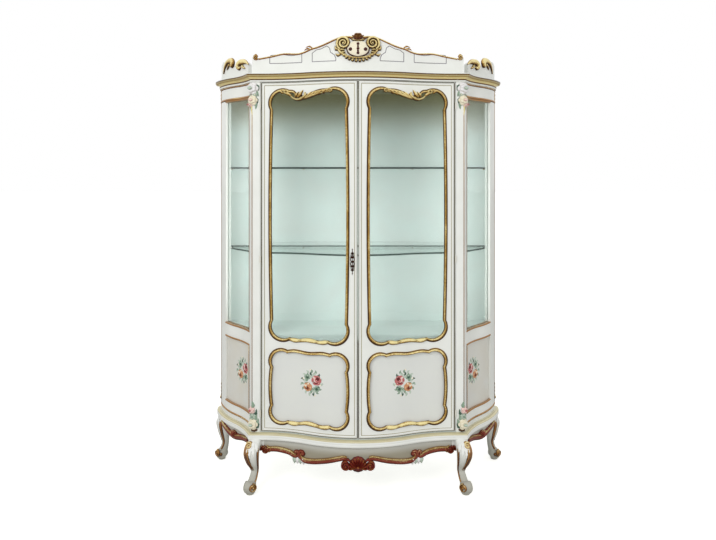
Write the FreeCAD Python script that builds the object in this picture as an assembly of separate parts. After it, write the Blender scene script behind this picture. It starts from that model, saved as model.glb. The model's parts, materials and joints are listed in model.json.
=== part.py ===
"""Painted and gilded display cabinet with a serpentine front, canted serpentine sides and a carved crest.

Frame: +Z up, the front looks along -Y, the origin is on the floor under the middle of the cabinet, and sizes
are in millimetres. The carcase follows two plan lines, one along the front and one along a side. Boards,
rails, panes and doors are bands between two offsets of those lines, mouldings are profiles carried along
them, and shaped edges are elevation outlines cut through the bands.
"""

import FreeCAD
import Part
import math
import os
from FreeCAD import Vector

# Plan sizes
DOOR_WIDTH = 486.0
CENTRE_GAP = 3.0
HINGE_GAP = 2.5
POST_FACE = 40.0
POST_RETURN = 46.0
BOW = 96.0
SIDE_SPLAY = 214.0
SIDE_DEPTH = 312.0
SIDE_SWELL = 10.0
REAR_CORNER_RADIUS = 140.0

# Heights, from the floor up
APRON_TOP = 262.0
BOTTOM_BOARD = 20.0
DOOR_GAP = 3.0
DOOR_HEIGHT = 1743.0
TOP_BOARD = 18.0
CORNICE_HEIGHT = 39.0
CREST_HEIGHT = 186.0
SIDE_BOTTOM_RAIL = 80.0
SIDE_MIDDLE_RAIL = 76.0
SIDE_TOP_RAIL = 81.0
SIDE_RAIL_RISE = 10.0
DISPLAY_FLOOR = 18.0
DISPLAY_FLOOR_RISE = 9.0
LOWER_SHELF_TOP = 1172.0
UPPER_SHELF_TOP = 1604.0

# Thicknesses
DOOR_THICK = 24.0
DOOR_CLEARANCE = 2.0
RAIL_THICK = 26.0
REAR_STILE_THICK = 30.0
REAR_STILE_WIDTH = 130.0
APRON_THICK = 22.0
BACK_THICK = 8.0
CREST_THICK = 20.0
PANE_THICK = 4.0
PANEL_THICK = 8.0
SHELF_THICK = 8.0

# Grooves, rebates and fits
SIDE_PANE_SET_BACK = 12.0
SIDE_PANEL_SET_BACK = 9.0
GROOVE_DEPTH = 8.0
GROOVE_CLEARANCE = 0.3
DOOR_PANE_SET_BACK = 10.0
DOOR_PANEL_SET_BACK = 7.0
REBATE_DEPTH = 9.0
REBATE_CLEARANCE = 0.5
BEAD_THICK = 6.0
TENON_LENGTH = 28.0
TENON_ROOT = 12.0
TENON_THICK = 8.0
TENON_SET_BACK = 8.0
TENON_SHOULDER = 3.0
CUT_PAST = 1.0

# Door frame and its two shaped openings
STILE_WIDTH = 52.0
DOOR_BOTTOM_RAIL = 46.0
DOOR_PANEL_HEIGHT = 359.0
DOOR_MIDDLE_RAIL = 56.0
DOOR_TOP_RAIL = 44.0
GLASS_LOBE = 94.0
GLASS_DIP = 40.0
GLASS_DIP_SHIFT = 34.0
PANEL_LOBE = 84.0
PANEL_DIP = 14.0
OUTLINE_DIP = 9.0
OUTLINE_NOTCH = 8.0
OUTLINE_BOW = 1.0
LOBE_FULLNESS = 0.2
SHOULDER_SHARE = 0.62
SHOULDER_DIP = 0.3
GILT_OUTSIDE = 8.0
GILT_INSIDE = 2.0
GILT_PROUD = 6.0
GILT_CROWN = 2.5
GILT_CROWN_INSET = 2.5

# Cornice profile: white fillet, hollow, round and flat top edge
CORNICE_PROJECTION = 32.0
CORNICE_FILLET = 8.0
CORNICE_FILLET_HEIGHT = 6.0
CORNICE_STEP = 3.0
CORNICE_HOLLOW = (0.42, 0.49, 0.66, 0.56)
CORNICE_ROUND = (0.9, 0.64, 1.0, 0.85)

# Base moulding profile: a fillet under a nosing with a flat lip on top
BASE_DEPTH = 21.0
BASE_SET_DOWN = 1.0
BASE_PROJECTION = 22.0
BASE_FILLET_SHARE = 0.45
BASE_FILLET_HEIGHT = 3.0
BASE_NOSE_SHARE = 0.9
BASE_NOSE_EASE = 6.0
BASE_LIP_SHARE = 0.5
BASE_LIP = 2.0

# Beads on the side rails
RAIL_BEAD_RADIUS = 4.0

# Shelves and their pins
SHELF_FRONT_SET_BACK = 60.0
SHELF_SIDE_SET_BACK = 34.0
SHELF_BACK_GAP = 10.0
PIN_RADIUS = 3.0
PIN_LENGTH = 30.0
BACK_PIN_X = 300.0

# Hinges
HINGE_FROM_FOOT = 90.0
HINGE_FROM_HEAD = 118.0
BARREL_RADIUS = 4.0
BARREL_LENGTH = 17.0
BARREL_STAND_OFF = 0.6
BARREL_GAP = 0.3
HINGE_PIN_RADIUS = 2.0
PIN_RUNNING_CLEARANCE = 0.05
PIN_FIXED_CLEARANCE = 0.02
LEAF_THICK = 1.1
LEAF_WIDTH = 20.0

# Lock and key
LOCK_LEVEL = 1145.0
LOCK_CASE_WIDTH = 30.0
LOCK_CASE_HEIGHT = 60.0
LOCK_CASE_THICK = 13.0
LOCK_CASE_WALL = 2.0
LOCK_BOLT_WIDTH = 6.0
LOCK_BOLT_HEIGHT = 12.0
LOCK_BOLT_THROW = 9.0
LOCK_BOLT_DEPTH_SHARE = 0.35
LOCK_BOLT_SINK = 2.0
LOCK_BOLT_TAIL_GAP = 3.0
LOCK_CLEARANCE = 0.3
KEY_RADIUS = 2.5
KEY_REACH = 26.0
KEY_BOW_RADIUS = 9.0
KEY_BOW_WIRE = 2.0
KEY_BIT_LENGTH = 7.0
KEY_BIT_WIDTH = 4.0
KEY_BIT_THICK = 2.0
KEY_BIT_CLEARANCE = 0.5
ESCUTCHEON_HEIGHT = 136.0
ESCUTCHEON_SPINE = 4.0
ESCUTCHEON_DISCS = ((0.06, 11.0), (0.3, 8.0), (0.52, 6.5), (0.72, 5.0), (0.88, 3.6))
ESCUTCHEON_THICK = 2.0
KEEPER_THICK = 1.2
KEEPER_HEIGHT = 40.0
KEEPER_WIDTH = 12.0
KEEPER_POCKET = 10.0

# Sliding bolts, their staples and the rail that the upper one enters
ROD_RADIUS = 4.0
ROD_LENGTH = 120.0
ROD_THROW = 20.0
ROD_CLEARANCE = 0.1
ROD_STAND_OFF = 1.5
ROD_HOLE_CLEARANCE = 1.0
ROD_HOLE_SPARE = 2.0
UPPER_ROD_GAP = 2.0
LOWER_ROD_GAP = 6.0
ROD_KNOB_SHARE = 0.86
ROD_KNOB_RADIUS = 6.0
ROD_KNOB_STEM = 2.4
ROD_KNOB_LENGTH = 9.0
STAPLE_HEIGHT = 12.0
STAPLE_WIDTH = 22.0
STAPLE_WALL = 2.5
STAPLE_SHARES = (0.18, 0.62)
HEAD_RAIL_HEIGHT = 44.0
HEAD_RAIL_THICK = 20.0

# Legs: share of the apron's height, outward shift, half length outwards and half width of each section
LEG_SECTIONS = (
    (0.916, 30.0, 30.0, 33.0),
    (0.809, 54.0, 35.0, 34.0),
    (0.695, 60.0, 35.0, 33.0),
    (0.527, 48.0, 28.0, 26.0),
    (0.374, 30.0, 20.0, 18.0),
    (0.26, 46.0, 22.0, 20.0),
    (0.16, 72.0, 27.0, 22.0),
)
FOOT_SHIFT = 84.0
FOOT_RADIUS = 29.0
FOOT_HALF_WIDTH = 22.0
FOOT_LEVEL = 31.0
PAD_RADIUS = 19.0
KNEE_BLOCK_HEIGHT = 57.0
KNEE_BLOCK_WIDTH = 60.0
KNEE_BLOCK_RETURN = 58.0
FRONT_LEG_SET_IN = 25.0
FRONT_LEG_SET_BACK = 22.0
FRONT_LEG_LEAN = (0.3, -0.95)
REAR_LEG_LEAN = (0.99, 0.12)
REAR_LEG_REACH = 0.36
REAR_BLOCK_LENGTH = 78.0
REAR_BLOCK_THICK = 62.0

# Lower edge of the front apron: share of its half length and drop below its top
APRON_SWEEP = (
    (0.0, 86.0),
    (0.16, 84.0),
    (0.319, 102.0),
    (0.481, 115.0),
    (0.604, 98.0),
    (0.734, 84.0),
    (0.851, 75.0),
    (0.936, 76.0),
)
APRON_BOARD = 142.0
# Lower edge of a side apron: share of its length and share of its drop
SIDE_APRON_SWEEP = ((0.0, 0.0), (0.3, 0.3), (0.55, 1.0), (0.8, 0.3), (1.0, 0.0))
SIDE_APRON_DROP = 22.0

# Upper edge of the crest: share of its half length and drop below the top of the carving
CREST_SWEEP = (
    (0.0, 20.0),
    (0.117, 17.0),
    (0.189, 25.0),
    (0.285, 46.0),
    (0.361, 61.0),
    (0.439, 71.0),
    (0.505, 84.0),
    (0.575, 90.0),
    (0.701, 87.0),
    (0.832, 100.0),
    (0.938, 110.0),
)
CREST_END_GAP = 1.0
CREST_KNOB_RADIUS = 12.0
# Upper edge of a side crest: share of its length and drop
SIDE_CREST_SWEEP = (
    (0.0, 134.0),
    (0.14, 110.0),
    (0.26, 106.0),
    (0.44, 122.0),
    (0.58, 110.0),
    (0.74, 84.0),
    (0.88, 96.0),
    (1.0, 134.0),
)
SIDE_CREST_START = 66.0

# Carved cartouche on the crest
CARTOUCHE_DROP = 76.0
CARTOUCHE_HALF_WIDTH = 62.0
CARTOUCHE_HALF_HEIGHT = 46.0
CARTOUCHE_PROUD = 10.0
VOLUTE_X = 70.0
VOLUTE_DROP = 52.0
VOLUTE_RADIUS = 31.0
VOLUTE_EYE_SHARE = 0.45
VOLUTE_RIM_PROUD = 4.0
VOLUTE_EYE_PROUD = 10.0
SCALLOPS = 9
SCALLOP_RADIUS = 12.0
SCALLOP_PROUD = 5.0
SCALLOP_FIRST = 200.0
SCALLOP_SPREAD = 140.0
SCALLOP_SET_OUT = (0.7, 0.3)
CREST_LEAF_RADIUS = 17.0
CREST_LEAF_LENGTH = 27.0
CREST_LEAF_PROUD = 6.0

# Carved shell on the front apron
SHELL_DROP = 96.0
SHELL_RADIUS = 40.0
SHELL_BODY_SHARE = 0.72
SHELL_PROUD = 14.0
SHELL_RIBS = 7
SHELL_RIB_SHARE = 0.24
SHELL_RIB_PROUD = 4.0
SHELL_RIB_PLACE = (0.68, 0.55)
SHELL_RIB_FIRST = 20.0
SHELL_RIB_SPREAD = 140.0
SHELL_RIB_SET_DOWN = 4.0
SHELL_VOLUTE_X = 58.0
SHELL_VOLUTE_DROP = 105.0
SHELL_VOLUTE_RADIUS = 23.5
SHELL_VOLUTE_PROUD = 2.0
SHELL_EYE_PROUD = 7.0

# Carved flowers on the posts: distance from the end of the post, radius and height of each head
UPPER_FLOWERS = ((27.0, 21.0, 20.0), (69.0, 19.0, 17.0), (105.0, 16.0, 14.0), (131.0, 9.0, 9.0))
LOWER_FLOWERS = ((21.0, 19.0, 18.0), (58.0, 18.0, 16.0), (92.0, 16.0, 14.0), (120.0, 9.0, 9.0))
FLOWER_CORNER_GAP = 3.0
FLOWER_LEAF_HALF_WIDTH = 14.0
FLOWER_LEAF_THICK = 5.0

# Places worked out from the sizes above
DOOR_EDGE = CENTRE_GAP / 2 + DOOR_WIDTH
POST_INNER = DOOR_EDGE + HINGE_GAP
POST_OUTER = POST_INNER + POST_FACE
FRONT_RADIUS = (POST_INNER**2 + BOW**2) / (4 * BOW)
FRONT_TURN = math.asin(POST_INNER / 2 / FRONT_RADIUS)
SIDE_CHORD = math.hypot(SIDE_SPLAY, SIDE_DEPTH)
SIDE_CHORD_ANGLE = math.atan2(SIDE_DEPTH, SIDE_SPLAY)
SIDE_RADIUS = (SIDE_CHORD / 4) ** 2 / (2 * SIDE_SWELL) + SIDE_SWELL / 2
SIDE_TURN = math.asin(SIDE_CHORD / 4 / SIDE_RADIUS)
SIDE_START_ANGLE = SIDE_CHORD_ANGLE + SIDE_TURN
REAR_TURN = math.pi / 2 - SIDE_START_ANGLE
HALF_DEPTH = (SIDE_DEPTH + REAR_CORNER_RADIUS * math.sin(REAR_TURN) + BOW + CORNICE_PROJECTION) / 2
POST_Y = BOW + CORNICE_PROJECTION - HALF_DEPTH
FACE_Y = POST_Y - BOW
BACK_Y = HALF_DEPTH
AHEAD_Y = FACE_Y - 2 * CORNICE_PROJECTION

BOARD_TOP = APRON_TOP + BOTTOM_BOARD
BASE_LOW = APRON_TOP - BASE_DEPTH
KNEE_BLOCK_LOW = APRON_TOP - KNEE_BLOCK_HEIGHT
APRON_LOW = APRON_TOP - APRON_BOARD
APRON_END = POST_OUTER - KNEE_BLOCK_WIDTH
DOOR_LOW = BOARD_TOP + DOOR_GAP
DOOR_HIGH = DOOR_LOW + DOOR_HEIGHT
TOP_BOARD_LOW = DOOR_HIGH + DOOR_GAP
TOP_BOARD_HIGH = TOP_BOARD_LOW + TOP_BOARD
CORNICE_TOP = TOP_BOARD_LOW + CORNICE_HEIGHT
CREST_TOP = CORNICE_TOP + CREST_HEIGHT
CREST_HALF_LENGTH = POST_OUTER - CREST_END_GAP
PANEL_LOW = DOOR_LOW + DOOR_BOTTOM_RAIL
PANEL_HIGH = PANEL_LOW + DOOR_PANEL_HEIGHT
GLASS_LOW = PANEL_HIGH + DOOR_MIDDLE_RAIL
GLASS_HIGH = DOOR_HIGH - DOOR_TOP_RAIL
BOTTOM_RAIL_HIGH = BOARD_TOP + SIDE_BOTTOM_RAIL
MID_RAIL_LOW = PANEL_HIGH + SIDE_RAIL_RISE
MID_RAIL_HIGH = MID_RAIL_LOW + SIDE_MIDDLE_RAIL
TOP_RAIL_LOW = TOP_BOARD_LOW - SIDE_TOP_RAIL
DISPLAY_FLOOR_TOP = GLASS_LOW + DISPLAY_FLOOR_RISE
FLOWER_X = POST_OUTER - FLOWER_CORNER_GAP
FLOWER_LEAF_X = POST_OUTER - FLOWER_LEAF_HALF_WIDTH

DOOR_BACK = -DOOR_THICK
STOP_LINE = DOOR_BACK - DOOR_CLEARANCE
OPENING_HALF_WIDTH = DOOR_WIDTH / 2 - STILE_WIDTH
DOOR_CENTRE = CENTRE_GAP / 2 + DOOR_WIDTH / 2
RAIL_HALF_LENGTH = OPENING_HALF_WIDTH - OUTLINE_NOTCH - CUT_PAST
RAIL_ENDS = (DOOR_CENTRE - RAIL_HALF_LENGTH, DOOR_CENTRE + RAIL_HALF_LENGTH)
HINGE_LEVELS = (DOOR_LOW + HINGE_FROM_FOOT, LOCK_LEVEL, DOOR_HIGH - HINGE_FROM_HEAD)
HINGE_X = DOOR_EDGE + HINGE_GAP / 2
HINGE_Y = POST_Y - BARREL_RADIUS - BARREL_STAND_OFF

LOCK_X = CENTRE_GAP / 2 + STILE_WIDTH / 2
LOCK_BACK_Y = FACE_Y + DOOR_THICK
LOCK_FRONT_Y = LOCK_BACK_Y - LOCK_CASE_THICK
LOCK_BOLT_Y = LOCK_BACK_Y - LOCK_CASE_THICK * LOCK_BOLT_DEPTH_SHARE
KEY_BIT_REACH = KEY_RADIUS + KEY_BIT_LENGTH
LOCK_BOLT_LEVEL = LOCK_LEVEL + KEY_BIT_REACH + KEY_BIT_CLEARANCE + LOCK_BOLT_HEIGHT / 2
KEY_CHAMBER_RADIUS = KEY_BIT_REACH + 2 * KEY_BIT_CLEARANCE
KEY_CHAMBER_FRONT = LOCK_FRONT_Y + LOCK_CASE_WALL
KEY_CHAMBER_DEPTH = KEY_BIT_WIDTH + 2 * KEY_BIT_CLEARANCE
BOLT_REST_TIP = -CENTRE_GAP / 2 - LOCK_BOLT_SINK
BOLT_TAIL = -LOCK_X - LOCK_CASE_WIDTH / 2 + LOCK_BOLT_TAIL_GAP
ROD_X = LOCK_X
ROD_Y = LOCK_BACK_Y + ROD_STAND_OFF + ROD_RADIUS + ROD_X**2 / (2 * FRONT_RADIUS)
HEAD_RAIL_LOW = TOP_BOARD_LOW - HEAD_RAIL_HEIGHT
UPPER_ROD_TIP = HEAD_RAIL_LOW - UPPER_ROD_GAP
LOWER_ROD_TIP = BOARD_TOP + LOWER_ROD_GAP

CORNER = Vector(POST_OUTER, POST_Y, 0)
MITRE_DIRECTION = Vector(1 + math.cos(SIDE_START_ANGLE), math.sin(SIDE_START_ANGLE), 0).normalize()
MITRE_ALLOWANCE = 3 * CORNICE_PROJECTION
FAR = 4 * CREST_TOP


class PlanLine:
    """A smooth line in plan made of straight runs and tangent arcs, with its outside on the right hand.

    A place on it is a distance along the line and an offset, which is positive outwards.
    """

    def __init__(self, start, heading):
        self.runs = []
        self.end = start
        self.heading = heading
        self.length = 0.0

    def add(self, length, turn=0.0):
        """Adds a run of that length that turns left by that angle, in radians, or goes straight on."""
        run = (self.length, length, self.end, self.heading, turn / length)
        self.runs.append(run)
        self.length += length
        self.end = self.at(self.length, 0.0)
        self.heading += turn
        return self

    def run_at(self, distance):
        """The run that holds a place, or the nearest end run for a place past the ends."""
        for run in self.runs:
            if distance <= run[0] + run[1]:
                return run
        return self.runs[-1]

    def at(self, distance, offset, z=0.0, run=None):
        """The point at a distance and offset, on the given run where two runs share the place."""
        begin, _, start, heading, bend = run or self.run_at(distance)
        along = distance - begin
        if bend == 0.0:
            x = start.x + along * math.cos(heading) + offset * math.sin(heading)
            y = start.y + along * math.sin(heading) - offset * math.cos(heading)
            return Vector(x, y, z)
        centre = self.centre(start, heading, bend)
        reach = 1 / bend + offset
        angle = heading + bend * along
        return Vector(centre.x + reach * math.sin(angle), centre.y - reach * math.cos(angle), z)

    @staticmethod
    def centre(start, heading, bend):
        """The centre of a run that bends."""
        return Vector(start.x - math.sin(heading) / bend, start.y + math.cos(heading) / bend, 0)

    def pieces(self, begin, end):
        """The runs between two distances, each with the part of it that lies between them."""
        for run in self.runs:
            low = max(begin, run[0])
            high = min(end, run[0] + run[1])
            if high - low > 1e-6:
                yield run, low, high

    def edges(self, begin, end, offset, z):
        """Edges along the line at one offset."""
        made = []
        for run, low, high in self.pieces(begin, end):
            first = self.at(low, offset, z, run)
            last = self.at(high, offset, z, run)
            if run[4] == 0.0:
                made.append(Part.LineSegment(first, last).toShape())
            else:
                middle = self.at((low + high) / 2, offset, z, run)
                made.append(Part.Arc(first, middle, last).toShape())
        return made

    def outward(self, distance):
        """The outward direction at a place."""
        return (self.at(distance, 1.0) - self.at(distance, 0.0)).normalize()


FRONT = PlanLine(Vector(-POST_OUTER, POST_Y, 0), 0.0)
FRONT.add(POST_FACE)
FRONT.add(FRONT_RADIUS * FRONT_TURN, -FRONT_TURN)
FRONT.add(FRONT_RADIUS * FRONT_TURN * 2, FRONT_TURN * 2)
FRONT.add(FRONT_RADIUS * FRONT_TURN, -FRONT_TURN)
FRONT.add(POST_FACE)

SIDE = PlanLine(Vector(POST_OUTER, POST_Y, 0), SIDE_START_ANGLE)
SIDE.add(SIDE_RADIUS * SIDE_TURN * 2, -SIDE_TURN * 2)
SIDE.add(SIDE_RADIUS * SIDE_TURN * 2, SIDE_TURN * 2)
SIDE.add(REAR_CORNER_RADIUS * REAR_TURN, REAR_TURN)
STILE_FRONT = SIDE.length - REAR_STILE_WIDTH


def front_distance(x):
    """The distance along the front line at which it passes a value of x."""
    middle = FRONT.length / 2
    reach = abs(x)
    if reach <= POST_INNER / 2:
        along = FRONT_RADIUS * math.asin(reach / FRONT_RADIUS)
    elif reach <= POST_INNER:
        back = FRONT_RADIUS * math.asin((POST_INNER - reach) / FRONT_RADIUS)
        along = FRONT_RADIUS * FRONT_TURN * 2 - back
    else:
        along = FRONT_RADIUS * FRONT_TURN * 2 + reach - POST_INNER
    return middle + math.copysign(along, x)


def mirrored(shape):
    """The same shape on the other side of the cabinet."""
    return shape.mirror(Vector(0, 0, 0), Vector(1, 0, 0))


def joined(shapes):
    """One solid from shapes that touch or overlap."""
    shapes = list(shapes)
    whole = shapes[0].multiFuse(shapes[1:]) if len(shapes) > 1 else shapes[0]
    return whole.removeSplitter()


def prism(edges, direction):
    """The solid that a closed outline sweeps along a direction."""
    wire = Part.Wire(Part.__sortEdges__(edges))
    return Part.Face(wire).extrude(direction)


def spline(points):
    """A smooth edge through some points."""
    curve = Part.BSplineCurve()
    curve.interpolate(points)
    return curve.toShape()


def arc(first, middle, last):
    """A round edge through three points."""
    return Part.Arc(first, middle, last).toShape()


def line(first, last):
    """A straight edge."""
    return Part.LineSegment(first, last).toShape()


def box(x, y, z):
    """A block between pairs of low and high values."""
    return Part.makeBox(x[1] - x[0], y[1] - y[0], z[1] - z[0], Vector(x[0], y[0], z[0]))


def columns(low, high):
    """A block that holds everything between two values of x."""
    return box((low, high), (-FAR / 2, FAR / 2), (-FAR / 2, FAR))


def beyond(point, direction):
    """A block that holds everything past a point along a direction."""
    block = Part.makeBox(FAR, FAR, FAR, Vector(-FAR / 2, -FAR / 2, 0))
    block.Placement = FreeCAD.Placement(point, FreeCAD.Rotation(Vector(0, 0, 1), direction))
    return block


def band(plan, begin, end, outer, inner, low, high):
    """A curved board between two offsets of a plan line, two distances along it and two levels."""
    edges = plan.edges(begin, end, outer, low) + plan.edges(begin, end, inner, low)
    runs = [run for run, _, _ in plan.pieces(begin, end)]
    start, stop = runs[0], runs[-1]
    edges.append(line(plan.at(begin, outer, low, start), plan.at(begin, inner, low, start)))
    edges.append(line(plan.at(end, outer, low, stop), plan.at(end, inner, low, stop)))
    return prism(edges, Vector(0, 0, high - low))


def front_band(x_low, x_high, outer, inner, low, high):
    """A curved board along the front between two values of x."""
    return band(FRONT, front_distance(x_low), front_distance(x_high), outer, inner, low, high)


def profile_face(profile, place):
    """A face from a moulding profile: a start, then line ends of 2 numbers and arcs of 4, middle and end."""
    here = profile[0]
    edges = []
    for step in profile[1:]:
        if len(step) == 2:
            edges.append(line(place(*here), place(*step)))
        else:
            edges.append(arc(place(*here), place(*step[:2]), place(*step[2:])))
        here = step[-2:]
    edges.append(line(place(*here), place(*profile[0])))
    return Part.Face(Part.Wire(edges))


def moulding(plan, begin, end, profile):
    """A moulding whose profile, in offsets and levels, is carried along a plan line."""
    made = []
    for run, low, high in plan.pieces(begin, end):
        face = profile_face(profile, lambda offset, z: plan.at(low, offset, z, run))
        if run[4] == 0.0:
            made.append(face.extrude(plan.at(high, 0, 0, run) - plan.at(low, 0, 0, run)))
        else:
            centre = plan.centre(run[2], run[3], run[4])
            turn = math.degrees(run[4] * (high - low))
            made.append(face.revolve(centre, Vector(0, 0, 1), turn))
    return joined(made)


def straight_moulding(plan, distance, length, profile):
    """A straight piece of moulding that leaves a plan line at one place, back along it if negative."""
    face = profile_face(profile, lambda offset, z: plan.at(distance, offset, z))
    outward = plan.outward(distance)
    return face.extrude(Vector(-outward.y * length, outward.x * length, 0))


def front_moulding(profile):
    """A moulding across the front with mitred ends."""
    run = moulding(FRONT, 0, FRONT.length, profile)
    right = straight_moulding(FRONT, FRONT.length, MITRE_ALLOWANCE, profile)
    left = mirrored(right)
    whole = joined([run, left, right])
    cutter = beyond(CORNER, MITRE_DIRECTION)
    return whole.cut(cutter).cut(mirrored(cutter))


def side_moulding(profile):
    """A moulding along the right side with a mitred front end."""
    run = moulding(SIDE, 0, SIDE.length, profile)
    start = straight_moulding(SIDE, 0, -MITRE_ALLOWANCE, profile)
    return joined([run, start]).common(beyond(CORNER, MITRE_DIRECTION))


# Base: aprons, legs and mouldings


def corner_block(x_inner, side_length, thick, low, high):
    """A block at the right front corner, flush with the front and side lines, its end square to the side."""
    begin = front_distance(x_inner)
    edges = FRONT.edges(begin, FRONT.length, 0, low) + SIDE.edges(0, side_length, 0, low)
    side_end = SIDE.at(side_length, 0, low)
    side_back = SIDE.at(side_length, -thick, low)
    inner_back = Vector(x_inner, side_back.y, low)
    edges.append(line(side_end, side_back))
    edges.append(line(side_back, inner_back))
    edges.append(line(inner_back, FRONT.at(begin, 0, low)))
    return prism(edges, Vector(0, 0, high - low))


def cabriole(foot_from, direction, reach):
    """A curved leg with a scrolled foot that leans out from a point along a direction."""
    outward = Vector(*direction, 0).normalize()
    across = Vector(-outward.y, outward.x, 0)
    sections = []
    for share, shift, half_length, half_width in LEG_SECTIONS:
        centre = foot_from + outward * shift * reach + Vector(0, 0, share * APRON_TOP)
        long_way, short_way = (outward, across) if half_length >= half_width else (across, outward)
        longer, shorter = max(half_length, half_width), min(half_length, half_width)
        ellipse = Part.Ellipse(centre + long_way * longer, centre + short_way * shorter, centre)
        sections.append(Part.Wire(ellipse.toShape()))
    shank = Part.makeLoft(sections, True, False)
    foot = foot_from + outward * FOOT_SHIFT * reach
    hub = foot + Vector(0, 0, FOOT_LEVEL) - across * FOOT_HALF_WIDTH
    scroll = Part.makeCylinder(FOOT_RADIUS, FOOT_HALF_WIDTH * 2, hub, across)
    pad = Part.makeCylinder(PAD_RADIUS, FOOT_LEVEL, foot)
    return [shank, scroll, pad]


def front_leg():
    """The right front leg with its corner block."""
    block = corner_block(APRON_END, KNEE_BLOCK_RETURN, APRON_THICK, KNEE_BLOCK_LOW, APRON_TOP)
    foot_from = Vector(POST_OUTER - FRONT_LEG_SET_IN, POST_Y + FRONT_LEG_SET_BACK, 0)
    return joined([block] + cabriole(foot_from, FRONT_LEG_LEAN, 1.0))


def rear_block():
    """The block at the right rear corner that the rear leg and the rear rail meet."""
    begin = SIDE.length - REAR_BLOCK_LENGTH
    return band(SIDE, begin, SIDE.length, 0, -REAR_BLOCK_THICK, KNEE_BLOCK_LOW, APRON_TOP)


def rear_leg():
    """The right rear leg with its corner block."""
    middle = SIDE.at(SIDE.length - REAR_BLOCK_LENGTH / 2, -REAR_BLOCK_THICK / 2)
    leg = joined([rear_block()] + cabriole(middle, REAR_LEG_LEAN, REAR_LEG_REACH))
    return leg.common(box((0, FAR), (-FAR, BACK_Y), (0, FAR)))


def front_apron():
    """The board under the doors, with a shaped lower edge."""
    board = front_band(-APRON_END, APRON_END, 0, -APRON_THICK, APRON_LOW, APRON_TOP)
    right = [Vector(APRON_END * share, AHEAD_Y, APRON_TOP - drop) for share, drop in APRON_SWEEP]
    right.append(Vector(APRON_END, AHEAD_Y, KNEE_BLOCK_LOW))
    left = [Vector(-p.x, p.y, p.z) for p in reversed(right)]
    top_right = Vector(APRON_END, AHEAD_Y, APRON_TOP)
    top_left = Vector(-APRON_END, AHEAD_Y, APRON_TOP)
    edges = [
        spline(left + right[1:]),
        line(right[-1], top_right),
        line(top_right, top_left),
        line(top_left, left[0]),
    ]
    return board.common(prism(edges, Vector(0, FAR / 2, 0)))


def side_elevation(begin, end):
    """A function that places a share of the way along the side and a level, and the way inwards."""
    first, last = SIDE.at(begin, 0), SIDE.at(end, 0)
    chord = last - first
    outward = Vector(chord.y, -chord.x, 0).normalize()
    base = first + outward * MITRE_ALLOWANCE

    def place(share, z):
        spot = base + chord * share
        return Vector(spot.x, spot.y, z)

    return place, outward * -2 * MITRE_ALLOWANCE


def side_apron():
    """The board under the right side, with a shaped lower edge."""
    begin, end = KNEE_BLOCK_RETURN, SIDE.length - REAR_BLOCK_LENGTH
    board = band(SIDE, begin, end, 0, -APRON_THICK, APRON_LOW, APRON_TOP)
    place, inwards = side_elevation(begin - GROOVE_DEPTH, end + GROOVE_DEPTH)
    points = [place(share, KNEE_BLOCK_LOW - SIDE_APRON_DROP * drop) for share, drop in SIDE_APRON_SWEEP]
    top_front, top_back = place(0.0, APRON_TOP), place(1.0, APRON_TOP)
    sides = [line(points[-1], top_back), line(top_back, top_front), line(top_front, points[0])]
    return board.common(prism([spline(points)] + sides, inwards))


def rear_rail():
    """The straight board that joins the rear legs, coped to their blocks."""
    half = SIDE.at(SIDE.length, 0).x
    board = box((-half, half), (BACK_Y - APRON_THICK, BACK_Y), (KNEE_BLOCK_LOW, APRON_TOP))
    rail = board.cut(rear_block()).cut(mirrored(rear_block()))
    return max(rail.Solids, key=lambda solid: solid.Volume)


def base_profile():
    """The rounded base moulding, in offsets and levels."""
    nose, low, high = BASE_PROJECTION, BASE_LOW, BOARD_TOP - BASE_SET_DOWN
    fillet, flank, lip = nose * BASE_FILLET_SHARE, nose * BASE_NOSE_SHARE, nose * BASE_LIP_SHARE
    return (
        (0, low),
        (fillet, low),
        (fillet, low + BASE_FILLET_HEIGHT),
        (flank, low + BASE_NOSE_EASE, nose, (low + high) / 2),
        (flank, high - BASE_NOSE_EASE, lip, high - BASE_LIP),
        (lip, high),
        (0, high),
    )


# Carcase


def interior_face(front_offset, side_offset, back, z):
    """The plan of a board inside the carcase, as a face at one level."""
    front = FRONT.edges(0, FRONT.length, front_offset, z)
    right = SIDE.edges(0, SIDE.length, side_offset, z)
    left = [mirrored(edge) for edge in right]
    corner_front = FRONT.at(FRONT.length, front_offset, z)
    corner_side = SIDE.at(0, side_offset, z)
    rear = SIDE.at(SIDE.length, side_offset, z)
    edges = front + right + left
    if corner_front.distanceToPoint(corner_side) > 1e-6:
        link = line(corner_front, corner_side)
        edges += [link, mirrored(link)]
    edges.append(line(rear, Vector(-rear.x, rear.y, z)))
    face = Part.Face(Part.Wire(Part.__sortEdges__(edges)))
    trim = Part.makePlane(FAR, back + FAR / 2, Vector(-FAR / 2, -FAR / 2, z))
    return face.common(trim).Faces[0]


def bottom_board():
    """The board that the posts and rails stand on, with a hole for the lower bolt."""
    board = interior_face(0, 0, BACK_Y, APRON_TOP).extrude(Vector(0, 0, BOTTOM_BOARD))
    hole = rod_hole(BOARD_TOP - ROD_THROW, BOARD_TOP + CUT_PAST)
    return board.cut(hole)


def top_board():
    """The board over the posts and rails, which carries the crest."""
    return interior_face(0, 0, BACK_Y, TOP_BOARD_LOW).extrude(Vector(0, 0, TOP_BOARD))


def display_floor():
    """The floor of the glazed part, notched round the posts and stiles."""
    low = DISPLAY_FLOOR_TOP - DISPLAY_FLOOR
    board = interior_face(STOP_LINE, -RAIL_THICK, BACK_Y - BACK_THICK, low)
    board = board.extrude(Vector(0, 0, DISPLAY_FLOOR))
    right = plain_post().fuse(plain_rear_stile())
    return board.cut(right).cut(mirrored(right))


def plain_post():
    """The right front post before its grooves are cut."""
    return corner_block(POST_INNER, POST_RETURN, RAIL_THICK, BOARD_TOP, TOP_BOARD_LOW)


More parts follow.
